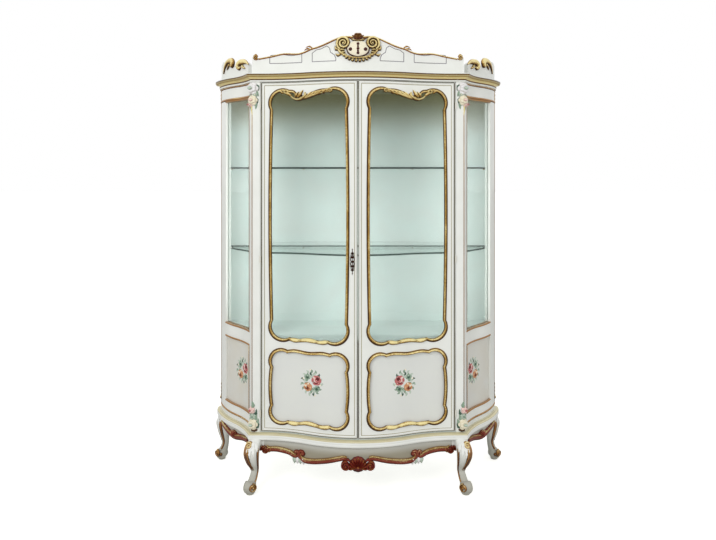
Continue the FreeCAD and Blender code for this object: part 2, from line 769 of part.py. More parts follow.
def plain_rear_stile():
    """The right rear stile before its grooves are cut."""
    stile = band(SIDE, STILE_FRONT, SIDE.length, 0, -REAR_STILE_THICK, BOARD_TOP, TOP_BOARD_LOW)
    return stile.common(box((0, FAR), (-FAR, BACK_Y - BACK_THICK), (0, FAR)))


def side_infill(set_back, thick, low, high, grow):
    """A pane or panel in the right side, grown by a clearance to cut its grooves."""
    return band(
        SIDE,
        POST_RETURN - GROOVE_DEPTH - grow,
        STILE_FRONT + GROOVE_DEPTH + grow,
        -set_back + grow,
        -set_back - thick - grow,
        low - GROOVE_DEPTH - grow,
        high + GROOVE_DEPTH + grow,
    )


def side_pane(grow=0.0):
    """The curved glass of the right side."""
    return side_infill(SIDE_PANE_SET_BACK, PANE_THICK, MID_RAIL_HIGH, TOP_RAIL_LOW, grow)


def side_panel(grow=0.0):
    """The painted panel under the glass of the right side."""
    return side_infill(SIDE_PANEL_SET_BACK, PANEL_THICK, BOTTOM_RAIL_HIGH, MID_RAIL_LOW, grow)


def grooved(shape):
    """A post, stile or rail with the grooves that its pane and panel sit in."""
    return shape.cut(side_pane(GROOVE_CLEARANCE)).cut(side_panel(GROOVE_CLEARANCE))


def rail_bead(level):
    """A gilded bead along the right side at one level."""
    r = RAIL_BEAD_RADIUS
    profile = ((0, level - r), (r, level, 0, level + r))
    return moulding(SIDE, POST_RETURN, STILE_FRONT, profile)


def side_rails():
    """The bottom, middle and top rails of the right side, each with its beads."""
    levels = (
        (BOARD_TOP, BOTTOM_RAIL_HIGH, (BOTTOM_RAIL_HIGH - RAIL_BEAD_RADIUS,)),
        (MID_RAIL_LOW, MID_RAIL_HIGH, (MID_RAIL_LOW + RAIL_BEAD_RADIUS, MID_RAIL_HIGH - RAIL_BEAD_RADIUS)),
        (TOP_RAIL_LOW, TOP_BOARD_LOW, (TOP_RAIL_LOW + RAIL_BEAD_RADIUS,)),
    )
    rails = []
    for low, high, beads in levels:
        rail = grooved(band(SIDE, POST_RETURN, STILE_FRONT, 0, -RAIL_THICK, low, high))
        rails.append(joined([rail] + [rail_bead(level) for level in beads]))
    return Part.makeCompound(rails)


def back_panel():
    """The board that closes the back."""
    half = SIDE.at(SIDE.length - BACK_THICK, 0).x
    return box((-half, half), (BACK_Y - BACK_THICK, BACK_Y), (BOARD_TOP, TOP_BOARD_LOW))


def head_rail():
    """The rail behind the tops of the doors, which stops them and takes the upper bolt."""
    back = STOP_LINE - HEAD_RAIL_THICK
    rail = front_band(-POST_INNER, POST_INNER, STOP_LINE, back, HEAD_RAIL_LOW, TOP_BOARD_LOW)
    return rail.cut(rod_hole(HEAD_RAIL_LOW - CUT_PAST, HEAD_RAIL_LOW + ROD_THROW + ROD_HOLE_SPARE))


# Cornice and crest


def cornice_profile():
    """A white fillet, a gilded ogee and a flat top edge, in offsets and levels."""
    low, fillet = TOP_BOARD_LOW, CORNICE_FILLET

    def turn(shares):
        mid_out, mid_up, end_out, end_up = shares
        middle = (CORNICE_PROJECTION * mid_out, low + CORNICE_HEIGHT * mid_up)
        return middle + (CORNICE_PROJECTION * end_out, low + CORNICE_HEIGHT * end_up)

    return (
        (0, low),
        (fillet, low),
        (fillet, low + CORNICE_FILLET_HEIGHT),
        (fillet + CORNICE_STEP, low + CORNICE_FILLET),
        turn(CORNICE_HOLLOW),
        turn(CORNICE_ROUND),
        (CORNICE_PROJECTION, CORNICE_TOP),
        (0, CORNICE_TOP),
    )


def crest_board():
    """The shaped board on top of the cornice, with a rolled knob at each end."""
    end = CREST_HALF_LENGTH
    board = front_band(-end, end, 0, -CREST_THICK, TOP_BOARD_HIGH, CREST_TOP)
    right = [Vector(end * share, AHEAD_Y, CREST_TOP - drop) for share, drop in CREST_SWEEP]
    left = [Vector(-p.x, p.y, p.z) for p in reversed(right)]
    low_right, low_left = Vector(end, AHEAD_Y, TOP_BOARD_HIGH), Vector(-end, AHEAD_Y, TOP_BOARD_HIGH)
    tip_right, tip_left = Vector(end, AHEAD_Y, right[-1].z), Vector(-end, AHEAD_Y, right[-1].z)
    edges = [
        spline(left + right[1:]),
        line(right[-1], tip_right),
        line(tip_right, low_right),
        line(low_right, low_left),
        line(low_left, tip_left),
        line(tip_left, left[0]),
    ]
    shaped = board.common(prism(edges, Vector(0, FAR / 2, 0)))
    knob_at = Vector(end - CREST_KNOB_RADIUS, POST_Y, right[-1].z)
    knob = Part.makeCylinder(CREST_KNOB_RADIUS, CREST_THICK, knob_at, Vector(0, 1, 0))
    return joined([shaped, knob, mirrored(knob)])


def side_crest():
    """The low shaped board on top of the right side's cornice."""
    end = SIDE.length - BACK_THICK
    board = band(SIDE, SIDE_CREST_START, end, 0, -CREST_THICK, TOP_BOARD_HIGH, CREST_TOP)
    place, inwards = side_elevation(SIDE_CREST_START - GROOVE_DEPTH, end + GROOVE_DEPTH)
    points = [place(share, CREST_TOP - drop) for share, drop in SIDE_CREST_SWEEP]
    low_front, low_back = place(0.0, TOP_BOARD_HIGH), place(1.0, TOP_BOARD_HIGH)
    sides = [line(points[-1], low_back), line(low_back, low_front), line(low_front, points[0])]
    return board.common(prism([spline(points)] + sides, inwards))


def disc(x, z, radius, proud, under=0.0):
    """A round boss on the front of the cabinet, from one offset out to another."""
    half = radius + CUT_PAST
    board = front_band(x - half, x + half, proud, under, z - half, z + half)
    return board.common(Part.makeCylinder(radius, FAR / 2, Vector(x, AHEAD_Y, z), Vector(0, 1, 0)))


def oval(x, z, half_width, half_height, proud):
    """An oval boss on the front of the cabinet."""
    half = half_width + CUT_PAST
    board = front_band(x - half, x + half, proud, 0, z - half_height, z + half_height)
    centre = Vector(x, AHEAD_Y, z)
    long_way, short_way = Vector(half_width, 0, 0), Vector(0, 0, half_height)
    if half_height > half_width:
        long_way, short_way = short_way, long_way
    ellipse = Part.Ellipse(centre + long_way, centre + short_way, centre)
    return board.common(prism([ellipse.toShape()], Vector(0, FAR / 2, 0)))


def fan(count, first, spread):
    """Angles at equal steps, as pairs of cosine and sine."""
    for i in range(count):
        angle = math.radians(first + spread * i / (count - 1))
        yield math.cos(angle), math.sin(angle)


def crest_cartouche():
    """The gilded carving on the crest: an oval field, two volutes, a leaf and a scalloped edge."""
    level, volute_level = CREST_TOP - CARTOUCHE_DROP, CREST_TOP - VOLUTE_DROP
    made = [oval(0, level, CARTOUCHE_HALF_WIDTH, CARTOUCHE_HALF_HEIGHT, CARTOUCHE_PROUD)]
    for x in (-VOLUTE_X, VOLUTE_X):
        made.append(disc(x, volute_level, VOLUTE_RADIUS, CARTOUCHE_PROUD + VOLUTE_RIM_PROUD))
        eye = VOLUTE_RADIUS * VOLUTE_EYE_SHARE
        made.append(disc(x, volute_level, eye, CARTOUCHE_PROUD + VOLUTE_EYE_PROUD))
    out, up = (SCALLOP_RADIUS * share for share in SCALLOP_SET_OUT)
    for across, rise in fan(SCALLOPS, SCALLOP_FIRST, SCALLOP_SPREAD):
        x = (CARTOUCHE_HALF_WIDTH + out) * across
        z = level + (CARTOUCHE_HALF_HEIGHT + up) * rise
        made.append(disc(x, z, SCALLOP_RADIUS, CARTOUCHE_PROUD + SCALLOP_PROUD))
    leaf_level = CREST_TOP - CREST_LEAF_LENGTH
    leaf_proud = CARTOUCHE_PROUD + CREST_LEAF_PROUD
    made.append(oval(0, leaf_level, CREST_LEAF_RADIUS, CREST_LEAF_LENGTH, leaf_proud))
    return joined(made)


def apron_shell():
    """The carved shell with a volute on each side, in the middle of the front apron."""
    level, volute_level = APRON_TOP - SHELL_DROP, APRON_TOP - SHELL_VOLUTE_DROP
    made = [disc(0, level, SHELL_RADIUS * SHELL_BODY_SHARE, SHELL_PROUD, -APRON_THICK)]
    out, up = (SHELL_RADIUS * share for share in SHELL_RIB_PLACE)
    rib_proud = SHELL_PROUD + SHELL_RIB_PROUD
    for across, rise in fan(SHELL_RIBS, SHELL_RIB_FIRST, SHELL_RIB_SPREAD):
        z = level + up * rise - SHELL_RIB_SET_DOWN
        made.append(disc(out * across, z, SHELL_RADIUS * SHELL_RIB_SHARE, rib_proud))
    for x in (-SHELL_VOLUTE_X, SHELL_VOLUTE_X):
        rim_proud = SHELL_PROUD + SHELL_VOLUTE_PROUD
        made.append(disc(x, volute_level, SHELL_VOLUTE_RADIUS, rim_proud, -APRON_THICK))
        eye = SHELL_VOLUTE_RADIUS * VOLUTE_EYE_SHARE
        made.append(disc(x, volute_level, eye, SHELL_PROUD + SHELL_EYE_PROUD))
    return joined(made).cut(front_apron())


def blossom(z, radius, proud):
    """A round flower head that wraps the outer corner of the right front post."""
    ball = (radius**2 + proud**2) / (2 * proud)
    return Part.makeSphere(ball, Vector(FLOWER_X, POST_Y - proud + ball, z)).cut(plain_post())


def flower_bunch(heads):
    """A hanging bunch of flower heads on a long leaf, each head a level, a radius and a height."""
    low = min(z - radius for z, radius, _ in heads)
    high = max(z + radius for z, radius, _ in heads)
    centre = Vector(FLOWER_LEAF_X, POST_Y - FLOWER_LEAF_THICK, (low + high) / 2)
    tip, flank = Vector(0, 0, (high - low) / 2), Vector(FLOWER_LEAF_HALF_WIDTH, 0, 0)
    outline = Part.Ellipse(centre + tip, centre + flank, centre).toShape()
    leaf = prism([outline], Vector(0, FLOWER_LEAF_THICK, 0))
    return joined([leaf] + [blossom(*head) for head in heads])


def post_flowers():
    """A hanging bunch of carved flowers at the top and the foot of each front post."""
    upper = [(TOP_BOARD_LOW - away, radius, proud) for away, radius, proud in UPPER_FLOWERS]
    lower = [(BOARD_TOP + away, radius, proud) for away, radius, proud in LOWER_FLOWERS]
    return on_both_sides([flower_bunch(upper), flower_bunch(lower)])


# Glass shelves and pins


def glass_shelf(top):
    """A glass shelf that follows the inside of the cabinet."""
    low = top - SHELF_THICK
    begin = POST_RETURN + GROOVE_DEPTH
    end = SIDE.length - BACK_THICK - SHELF_BACK_GAP
    front = FRONT.edges(POST_FACE, FRONT.length - POST_FACE, -SHELF_FRONT_SET_BACK, low)
    right = SIDE.edges(begin, end, -SHELF_SIDE_SET_BACK, low)
    corner = FRONT.at(FRONT.length - POST_FACE, -SHELF_FRONT_SET_BACK, low)
    link = line(corner, SIDE.at(begin, -SHELF_SIDE_SET_BACK, low))
    rear = SIDE.at(end, -SHELF_SIDE_SET_BACK, low)
    edges = front + right + [link] + [mirrored(edge) for edge in right + [link]]
    edges.append(line(rear, Vector(-rear.x, rear.y, low)))
    return prism(edges, Vector(0, 0, SHELF_THICK))


def shelf_pins():
    """Brass pegs under both shelves, in the posts, the rear stiles and the back."""
    post_back = Vector((POST_INNER + POST_OUTER) / 2, SIDE.at(POST_RETURN, -RAIL_THICK).y, 0)
    stile_at = (STILE_FRONT + SIDE.length) / 2
    places = (
        (post_back, Vector(0, 1, 0)),
        (SIDE.at(stile_at, -REAR_STILE_THICK), SIDE.outward(stile_at) * -1),
        (Vector(BACK_PIN_X, BACK_Y - BACK_THICK, 0), Vector(0, -1, 0)),
    )
    pins = []
    for top in (LOWER_SHELF_TOP, UPPER_SHELF_TOP):
        level = Vector(0, 0, top - SHELF_THICK - PIN_RADIUS)
        pins += [Part.makeCylinder(PIN_RADIUS, PIN_LENGTH, foot + level, way) for foot, way in places]
    return on_both_sides(pins)


# Doors


def shaped_outline(centre, half_width, low, high, lobe, dip_low, dip_high, dip_shift, inset):
    """A rococo outline in elevation, as edges in front of the cabinet.

    It has round corner lobes, a cusp beside each, bowed sides, and a top and bottom that dip inwards. The dip
    of the top may lie to one side of the middle. The inset draws the outline in all round.
    """
    a, lo, hi = half_width - inset, low + inset, high - inset
    reach = lobe - inset
    corner = reach * LOBE_FULLNESS
    cusp = OUTLINE_NOTCH
    middle = (low + high) / 2

    def at(x, z):
        return Vector(centre + x, AHEAD_Y, z)

    def level_edge(edge, dip, towards, shift):
        end = a - reach
        shoulder_edge = edge + towards * dip * SHOULDER_DIP
        return spline(
            [
                at(-end, edge + towards * cusp),
                at(shift - (end + shift) * SHOULDER_SHARE, shoulder_edge),
                at(shift, edge + towards * dip),
                at(shift + (end - shift) * SHOULDER_SHARE, shoulder_edge),
                at(end, edge + towards * cusp),
            ]
        )

    def side_edge(x, inwards):
        near, far = x + inwards * OUTLINE_BOW, x + inwards * cusp
        return arc(at(far, lo + reach), at(near, middle), at(far, hi - reach))

    def lobe_edge(x, inwards, edge, towards):
        return arc(
            at(x + inwards * cusp, edge + towards * reach),
            at(x + inwards * corner, edge + towards * corner),
            at(x + inwards * reach, edge + towards * cusp),
        )

    return [
        level_edge(lo, dip_low, 1, 0.0),
        level_edge(hi, dip_high, -1, dip_shift),
        side_edge(-a, 1),
        side_edge(a, -1),
        lobe_edge(-a, 1, lo, 1),
        lobe_edge(-a, 1, hi, -1),
        lobe_edge(a, -1, lo, 1),
        lobe_edge(a, -1, hi, -1),
    ]


def glass_opening(inset=0.0):
    """The glazed opening of the right door, as a block through it."""
    dips = (OUTLINE_DIP, GLASS_DIP, GLASS_DIP_SHIFT)
    edges = shaped_outline(DOOR_CENTRE, OPENING_HALF_WIDTH, GLASS_LOW, GLASS_HIGH, GLASS_LOBE, *dips, inset)
    return prism(edges, Vector(0, FAR / 2, 0))


def panel_opening(inset=0.0):
    """The lower opening of the right door, as a block through it."""
    dips = (PANEL_DIP, OUTLINE_DIP, 0.0)
    edges = shaped_outline(DOOR_CENTRE, OPENING_HALF_WIDTH, PANEL_LOW, PANEL_HIGH, PANEL_LOBE, *dips, inset)
    return prism(edges, Vector(0, FAR / 2, 0))


def door_infill(low, high, outer, inner, margin):
    """A curved rectangle behind an opening of the right door, larger than the opening by a margin."""
    half = OPENING_HALF_WIDTH + margin
    return front_band(DOOR_CENTRE - half, DOOR_CENTRE + half, outer, inner, low - margin, high + margin)


def door_pane():
    """The curved glass of the right door."""
    back = -DOOR_PANE_SET_BACK - PANE_THICK
    return door_infill(GLASS_LOW, GLASS_HIGH, -DOOR_PANE_SET_BACK, back, REBATE_DEPTH - REBATE_CLEARANCE)


def door_panel():
    """The painted panel of the right door."""
    back = -DOOR_PANEL_SET_BACK - PANEL_THICK
    return door_infill(PANEL_LOW, PANEL_HIGH, -DOOR_PANEL_SET_BACK, back, REBATE_DEPTH - REBATE_CLEARANCE)


def door_beads():
    """The frames of bead that hold the glass and the panel from behind."""
    frames = []
    for low, high, front in (
        (GLASS_LOW, GLASS_HIGH, -DOOR_PANE_SET_BACK - PANE_THICK),
        (PANEL_LOW, PANEL_HIGH, -DOOR_PANEL_SET_BACK - PANEL_THICK),
    ):
        outside = door_infill(low, high, front, front - BEAD_THICK, REBATE_DEPTH)
        inside = door_infill(low, high, front + CUT_PAST, front - BEAD_THICK - CUT_PAST, 0.0)
        frames.append(outside.cut(inside))
    return Part.makeCompound(frames)


def door_leaf():
    """The right door's frame in one piece, with its openings and rebates."""
    leaf = front_band(CENTRE_GAP / 2, DOOR_EDGE, 0, DOOR_BACK, DOOR_LOW, DOOR_HIGH)
    leaf = leaf.cut(glass_opening()).cut(panel_opening())
    past = DOOR_BACK - CUT_PAST
    pane_rebate = door_infill(GLASS_LOW, GLASS_HIGH, -DOOR_PANE_SET_BACK, past, REBATE_DEPTH)
    panel_rebate = door_infill(PANEL_LOW, PANEL_HIGH, -DOOR_PANEL_SET_BACK, past, REBATE_DEPTH)
    return leaf.cut(pane_rebate).cut(panel_rebate)


def door_tenons():
    """The tenons on the ends of the right door's rails."""
    inner, outer = RAIL_ENDS
    margin = REBATE_DEPTH + TENON_SHOULDER
    levels = (
        (DOOR_LOW + margin, PANEL_LOW - margin),
        (PANEL_HIGH + margin, GLASS_LOW - margin),
        (GLASS_HIGH + margin, DOOR_HIGH - margin),
    )
    front, back = -TENON_SET_BACK, -TENON_SET_BACK - TENON_THICK
    return [
        [
            front_band(inner - TENON_LENGTH, inner + TENON_ROOT, front, back, low, high),
            front_band(outer - TENON_ROOT, outer + TENON_LENGTH, front, back, low, high),
        ]
        for low, high in levels
    ]


def door_frame():
    """The right door's lock stile, hinge stile and rails, with tenons in mortises."""
    leaf = door_leaf()
    inner, outer = RAIL_ENDS
    tenons = door_tenons()
    lock_stile = leaf.common(columns(-FAR / 4, inner))
    hinge_stile = leaf.common(columns(outer, FAR / 4))
    between = leaf.common(columns(inner, outer))
    parts = sorted(between.Solids, key=lambda solid: solid.BoundBox.ZMin)
    rails = []
    for solid, pair in zip(parts, tenons):
        rails.append(joined([solid] + pair))
        lock_stile = lock_stile.cut(pair[0])
        hinge_stile = hinge_stile.cut(pair[1])
    return lock_stile, hinge_stile, Part.makeCompound(rails)


def gilt_mouldings():
    """The gilded mouldings round the glass and the panel of the right door."""
    rings = []
    margin = GILT_OUTSIDE + CUT_PAST
    for opening, low, high in (
        (glass_opening, GLASS_LOW, GLASS_HIGH),
        (panel_opening, PANEL_LOW, PANEL_HIGH),
    ):
        base = door_infill(low, high, GILT_PROUD, 0, margin)
        crown = door_infill(low, high, GILT_PROUD + GILT_CROWN, GILT_PROUD, margin)
        ring = base.common(opening(-GILT_OUTSIDE)).cut(opening(GILT_INSIDE))
        crown = crown.common(opening(GILT_CROWN_INSET - GILT_OUTSIDE))
        top = crown.cut(opening(GILT_INSIDE - GILT_CROWN_INSET))
        rings.append(joined([ring, top]))
    return Part.makeCompound(rings)


# Hinges


def barrel(level, bore):
    """A hinge barrel on the right door's axis, above a level."""
    foot = Vector(HINGE_X, HINGE_Y, level)
    outside = Part.makeCylinder(BARREL_RADIUS, BARREL_LENGTH, foot)
    return outside.cut(Part.makeCylinder(bore, BARREL_LENGTH, foot))


def hinge_half(level, bore, leaf_x):
    """A barrel with its leaf, above a level."""
    leaf = box(leaf_x, (HINGE_Y, POST_Y + LEAF_WIDTH), (level, level + BARREL_LENGTH))
    leaf = leaf.cut(Part.makeCylinder(bore, BARREL_LENGTH, Vector(HINGE_X, HINGE_Y, level)))
    return joined([barrel(level, bore), leaf])


def post_hinges():
    """The lower halves of the right hinges, on the post."""
    bore = HINGE_PIN_RADIUS + PIN_FIXED_CLEARANCE
    leaf_x = (POST_INNER - LEAF_THICK, POST_INNER)
    return [hinge_half(z - BARREL_LENGTH, bore, leaf_x) for z in HINGE_LEVELS]


def door_hinges():
    """The upper halves of the right hinges, on the door."""
    bore = HINGE_PIN_RADIUS + PIN_RUNNING_CLEARANCE
    leaf_x = (DOOR_EDGE, DOOR_EDGE + LEAF_THICK)
    return [hinge_half(z + BARREL_GAP, bore, leaf_x) for z in HINGE_LEVELS]


def hinge_pins():
    """The pins of the right hinges."""
    length = BARREL_LENGTH * 2 + BARREL_GAP
    return [
        Part.makeCylinder(HINGE_PIN_RADIUS, length, Vector(HINGE_X, HINGE_Y, z - BARREL_LENGTH))
        for z in HINGE_LEVELS
    ]


# Lock on the left door, and bolts on the right door


def lock_bolt_block(grow, x_low, x_high):
    """The bolt's bar, or the slot that it runs in, between two values of x."""
    half_y, half_z = LOCK_BOLT_WIDTH / 2 + grow, LOCK_BOLT_HEIGHT / 2 + grow
    thick = (LOCK_BOLT_Y - half_y, LOCK_BOLT_Y + half_y)
    return box((x_low, x_high), thick, (LOCK_BOLT_LEVEL - half_z, LOCK_BOLT_LEVEL + half_z))


def lock_case_block(grow):
    """The outside of the lock case, or the mortise that it sits in."""
    half_x, half_z = LOCK_CASE_WIDTH / 2 + grow, LOCK_CASE_HEIGHT / 2 + grow
    return box(
        (-LOCK_X - half_x, -LOCK_X + half_x),
        (LOCK_FRONT_Y - grow, LOCK_BACK_Y + grow),
        (LOCK_LEVEL - half_z, LOCK_LEVEL + half_z),
    )


def key_hole(radius, y_low, y_high):
    """A round way for the key through the left door."""
    return Part.makeCylinder(radius, y_high - y_low, Vector(-LOCK_X, y_low, LOCK_LEVEL), Vector(0, 1, 0))


def lock_bolt():
    """The bolt of the lock, drawn back."""
    return lock_bolt_block(0, BOLT_TAIL, BOLT_REST_TIP)


def lock_case():
    """The lock's case, with the bolt's slot, the key's way and a chamber for the key's bit."""
    case = lock_case_block(0).cut(lock_bolt_block(LOCK_CLEARANCE, BOLT_TAIL - CUT_PAST, CUT_PAST))
    case = case.cut(key_hole(KEY_CHAMBER_RADIUS, KEY_CHAMBER_FRONT, KEY_CHAMBER_FRONT + KEY_CHAMBER_DEPTH))
    return case.cut(key_hole(KEY_RADIUS + LOCK_CLEARANCE, LOCK_FRONT_Y - CUT_PAST, LOCK_BACK_Y + CUT_PAST))


def locked_stile(lock_stile):
    """The left lock stile, mortised for the lock case, the bolt and the key."""
    stile = lock_stile.cut(lock_case_block(0)).cut(lock_bolt_block(LOCK_CLEARANCE, -LOCK_X, CUT_PAST))
    return stile.cut(key_hole(KEY_RADIUS + LOCK_CLEARANCE, AHEAD_Y, LOCK_BACK_Y))


def key():
    """The key, in the lock, with its bow upright."""
    bow_y = FACE_Y - KEY_REACH + KEY_BOW_RADIUS
    shank = key_hole(KEY_RADIUS, bow_y, LOCK_BACK_Y - CUT_PAST)
    bit_y = KEY_CHAMBER_FRONT + KEY_BIT_CLEARANCE
    bit = box(
        (-LOCK_X - KEY_BIT_THICK / 2, -LOCK_X + KEY_BIT_THICK / 2),
        (bit_y, bit_y + KEY_BIT_WIDTH),
        (LOCK_LEVEL - KEY_BIT_REACH, LOCK_LEVEL),
    )
    bow_at = Vector(-LOCK_X, bow_y, LOCK_LEVEL)
    bow = Part.makeTorus(KEY_BOW_RADIUS - KEY_BOW_WIRE, KEY_BOW_WIRE, bow_at, Vector(1, 0, 0))
    return joined([shank, bit, bow])


def escutcheon():
    """The pierced plate round the keyhole: a spindle of discs, with the key's way through it."""
    half = ESCUTCHEON_HEIGHT / 2
    discs = []
    for share, size in ESCUTCHEON_DISCS:
        for way in (-1, 1):
            discs.append(disc(-LOCK_X, LOCK_LEVEL + way * share * half, size, ESCUTCHEON_THICK))
    spine = oval(-LOCK_X, LOCK_LEVEL, ESCUTCHEON_SPINE, half, ESCUTCHEON_THICK)
    return joined(discs + [spine]).cut(key_hole(KEY_RADIUS + LOCK_CLEARANCE, AHEAD_Y, LOCK_BACK_Y))


def keeper_block(depth):
    """The plate that the lock's bolt shoots into, on the edge of the right door."""
    low = LOCK_BOLT_LEVEL - KEEPER_HEIGHT / 2
    return box(
        (CENTRE_GAP / 2, CENTRE_GAP / 2 + depth),
        (LOCK_BOLT_Y - KEEPER_WIDTH / 2, LOCK_BOLT_Y + KEEPER_WIDTH / 2),
        (low, low + KEEPER_HEIGHT),
    )


def kept_stile(lock_stile):
    """The right lock stile with its keeper let in and a pocket for the bolt."""
    pocket = lock_bolt_block(2 * LOCK_CLEARANCE, 0, CENTRE_GAP / 2 + KEEPER_POCKET)
    return lock_stile.cut(keeper_block(KEEPER_THICK)).cut(pocket)


def rod_hole(low, high):
    """The hole that an end of a bolt shoots into."""
    return Part.makeCylinder(ROD_RADIUS + ROD_HOLE_CLEARANCE, high - low, Vector(ROD_X, ROD_Y, low))


def rod(tip, away):
    """A sliding bolt on the back of the right door, from its tip away up or down, with a knob."""
    low = min(tip, tip + away * ROD_LENGTH)
    bar = Part.makeCylinder(ROD_RADIUS, ROD_LENGTH, Vector(ROD_X, ROD_Y, low))
    knob_at = Vector(ROD_X, ROD_Y, tip + away * ROD_LENGTH * ROD_KNOB_SHARE)
    stem = Part.makeCylinder(ROD_KNOB_STEM, ROD_RADIUS + ROD_KNOB_LENGTH, knob_at, Vector(0, 1, 0))
    ball = Part.makeSphere(ROD_KNOB_RADIUS, knob_at + Vector(0, ROD_RADIUS + ROD_KNOB_LENGTH, 0))
    return joined([bar, stem, ball])


def bolt_fittings():
    """The staples that guide the bolts of the right door, and the keeper of the lock."""
    made = [keeper_block(KEEPER_THICK).cut(lock_bolt_block(LOCK_CLEARANCE, 0, CENTRE_GAP))]
    reach = ROD_RADIUS + STAPLE_WALL
    half = STAPLE_WIDTH / 2
    for tip, away in ((UPPER_ROD_TIP, -1), (LOWER_ROD_TIP, 1)):
        for share in STAPLE_SHARES:
            low = tip + away * ROD_LENGTH * share - STAPLE_HEIGHT / 2
            depth = ROD_Y + reach - LOCK_BACK_Y
            high = low + STAPLE_HEIGHT
            plate = front_band(ROD_X - half, ROD_X + half, DOOR_BACK, DOOR_BACK - depth, low, high)
            bore = Part.makeCylinder(ROD_RADIUS + ROD_CLEARANCE, STAPLE_HEIGHT, Vector(ROD_X, ROD_Y, low))
            made.append(plate.cut(bore))
    return Part.makeCompound(made)


def on_both_sides(shapes):
    """One node that holds some shapes on the right and their mirrors on the left."""
    return Part.makeCompound(shapes + [mirrored(shape) for shape in shapes])


def both_sides(name, shape):
    """A pair of nodes, the shape on the right and its mirror on the left."""
    return {f"right_{name}": shape, f"left_{name}": mirrored(shape)}


def cabinet():
    """All the sub-parts by name."""
    lock_stile, hinge_stile, rails = door_frame()
    cornice, base = cornice_profile(), base_profile()
    nodes = {
        "front_apron": front_apron(),
        "rear_rail": rear_rail(),
        "front_base_moulding": front_moulding(base),
        "bottom_board": bottom_board(),
        "display_floor": display_floor(),
        "back_panel": back_panel(),
        "door_head_rail": head_rail(),
        "top_board": top_board(),
        "front_cornice": front_moulding(cornice),
        "crest_board": crest_board(),
        "crest_cartouche": crest_cartouche(),
        "apron_shell": apron_shell(),
        "post_flowers": post_flowers(),
        "glass_shelves": Part.makeCompound([glass_shelf(top) for top in (LOWER_SHELF_TOP, UPPER_SHELF_TOP)]),
        "shelf_pins": shelf_pins(),
        "hinge_post_halves": on_both_sides(post_hinges()),
        "hinge_pins": on_both_sides(hinge_pins()),
        "left_door_lock_stile": locked_stile(mirrored(lock_stile)),
        "right_door_lock_stile": kept_stile(lock_stile),
        "lock_case": lock_case(),
        "lock_bolt": lock_bolt(),
        "key": key(),
        "escutcheon": escutcheon(),
        "door_bolt_fittings": bolt_fittings(),
        "upper_door_bolt": rod(UPPER_ROD_TIP, -1),
        "lower_door_bolt": rod(LOWER_ROD_TIP, 1),
    }
    nodes["side_base_mouldings"] = on_both_sides([side_moulding(base)])
    nodes["side_cornices"] = on_both_sides([side_moulding(cornice)])
    nodes.update(both_sides("front_leg", front_leg()))
    nodes.update(both_sides("rear_leg", rear_leg()))
    nodes.update(both_sides("side_apron", side_apron()))
    nodes.update(both_sides("front_post", grooved(plain_post())))
    nodes.update(both_sides("rear_stile", grooved(plain_rear_stile())))
    nodes.update(both_sides("side_rails", side_rails()))
    nodes.update(both_sides("side_glass", side_pane()))
    nodes.update(both_sides("side_panel", side_panel()))
    nodes.update(both_sides("side_crest", side_crest()))
    nodes.update(both_sides("door_hinge_stile", hinge_stile))
    nodes.update(both_sides("door_rails", rails))
    nodes.update(both_sides("door_glass", door_pane()))
    nodes.update(both_sides("door_panel", door_panel()))
    nodes.update(both_sides("door_beads", door_beads()))
    nodes.update(both_sides("door_gilt_mouldings", gilt_mouldings()))
    nodes.update(both_sides("door_hinge_halves", Part.makeCompound(door_hinges())))
    return nodes


def main():
    """Writes one STEP file for each sub-part."""
    os.makedirs("parts", exist_ok=True)
    for name, shape in cabinet().items():
        shape.exportStep(f"parts/{name}.step")


main()
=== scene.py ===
"""Looks of a painted and gilded display cabinet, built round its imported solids.

The file is laid out as an add-on and is run as a script. Carved and painted work is drawn on flat sheets, in
millimetres across, up and outwards, and each sheet is then laid over the serpentine front, a curved side, the
corner of a post or a leg.
"""

import json
import math

import bmesh
import bpy
from bpy.props import FloatProperty, FloatVectorProperty, PointerProperty
from bpy.types import Operator, Panel, PropertyGroup
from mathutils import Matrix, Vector


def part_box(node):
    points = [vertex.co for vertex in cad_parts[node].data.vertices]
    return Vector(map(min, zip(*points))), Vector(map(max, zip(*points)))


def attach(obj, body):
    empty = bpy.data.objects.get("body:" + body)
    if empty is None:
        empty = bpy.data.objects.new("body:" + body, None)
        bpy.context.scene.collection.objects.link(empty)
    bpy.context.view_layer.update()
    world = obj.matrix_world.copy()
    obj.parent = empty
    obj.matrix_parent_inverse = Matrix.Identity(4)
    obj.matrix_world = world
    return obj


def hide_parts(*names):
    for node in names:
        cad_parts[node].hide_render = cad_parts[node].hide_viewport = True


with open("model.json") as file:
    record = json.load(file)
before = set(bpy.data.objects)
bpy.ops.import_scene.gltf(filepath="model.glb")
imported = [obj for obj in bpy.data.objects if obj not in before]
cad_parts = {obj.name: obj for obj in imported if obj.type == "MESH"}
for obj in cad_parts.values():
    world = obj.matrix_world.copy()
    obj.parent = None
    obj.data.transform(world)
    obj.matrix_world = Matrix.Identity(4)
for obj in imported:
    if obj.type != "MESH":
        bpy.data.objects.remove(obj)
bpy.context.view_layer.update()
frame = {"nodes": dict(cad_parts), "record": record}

bl_info = {
    "name": "Serpentine Display Cabinet",
    "version": (1, 0, 0),
    "blender": (4, 5, 0),
    "location": "View3D > Sidebar > Cabinet",
    "description": "Dresses the solids of a painted and gilded display cabinet",
    "category": "Object",
}

MM = 0.001
HANDS = (-1, 1)
SIDE_NAMES = {-1: "left", 1: "right"}

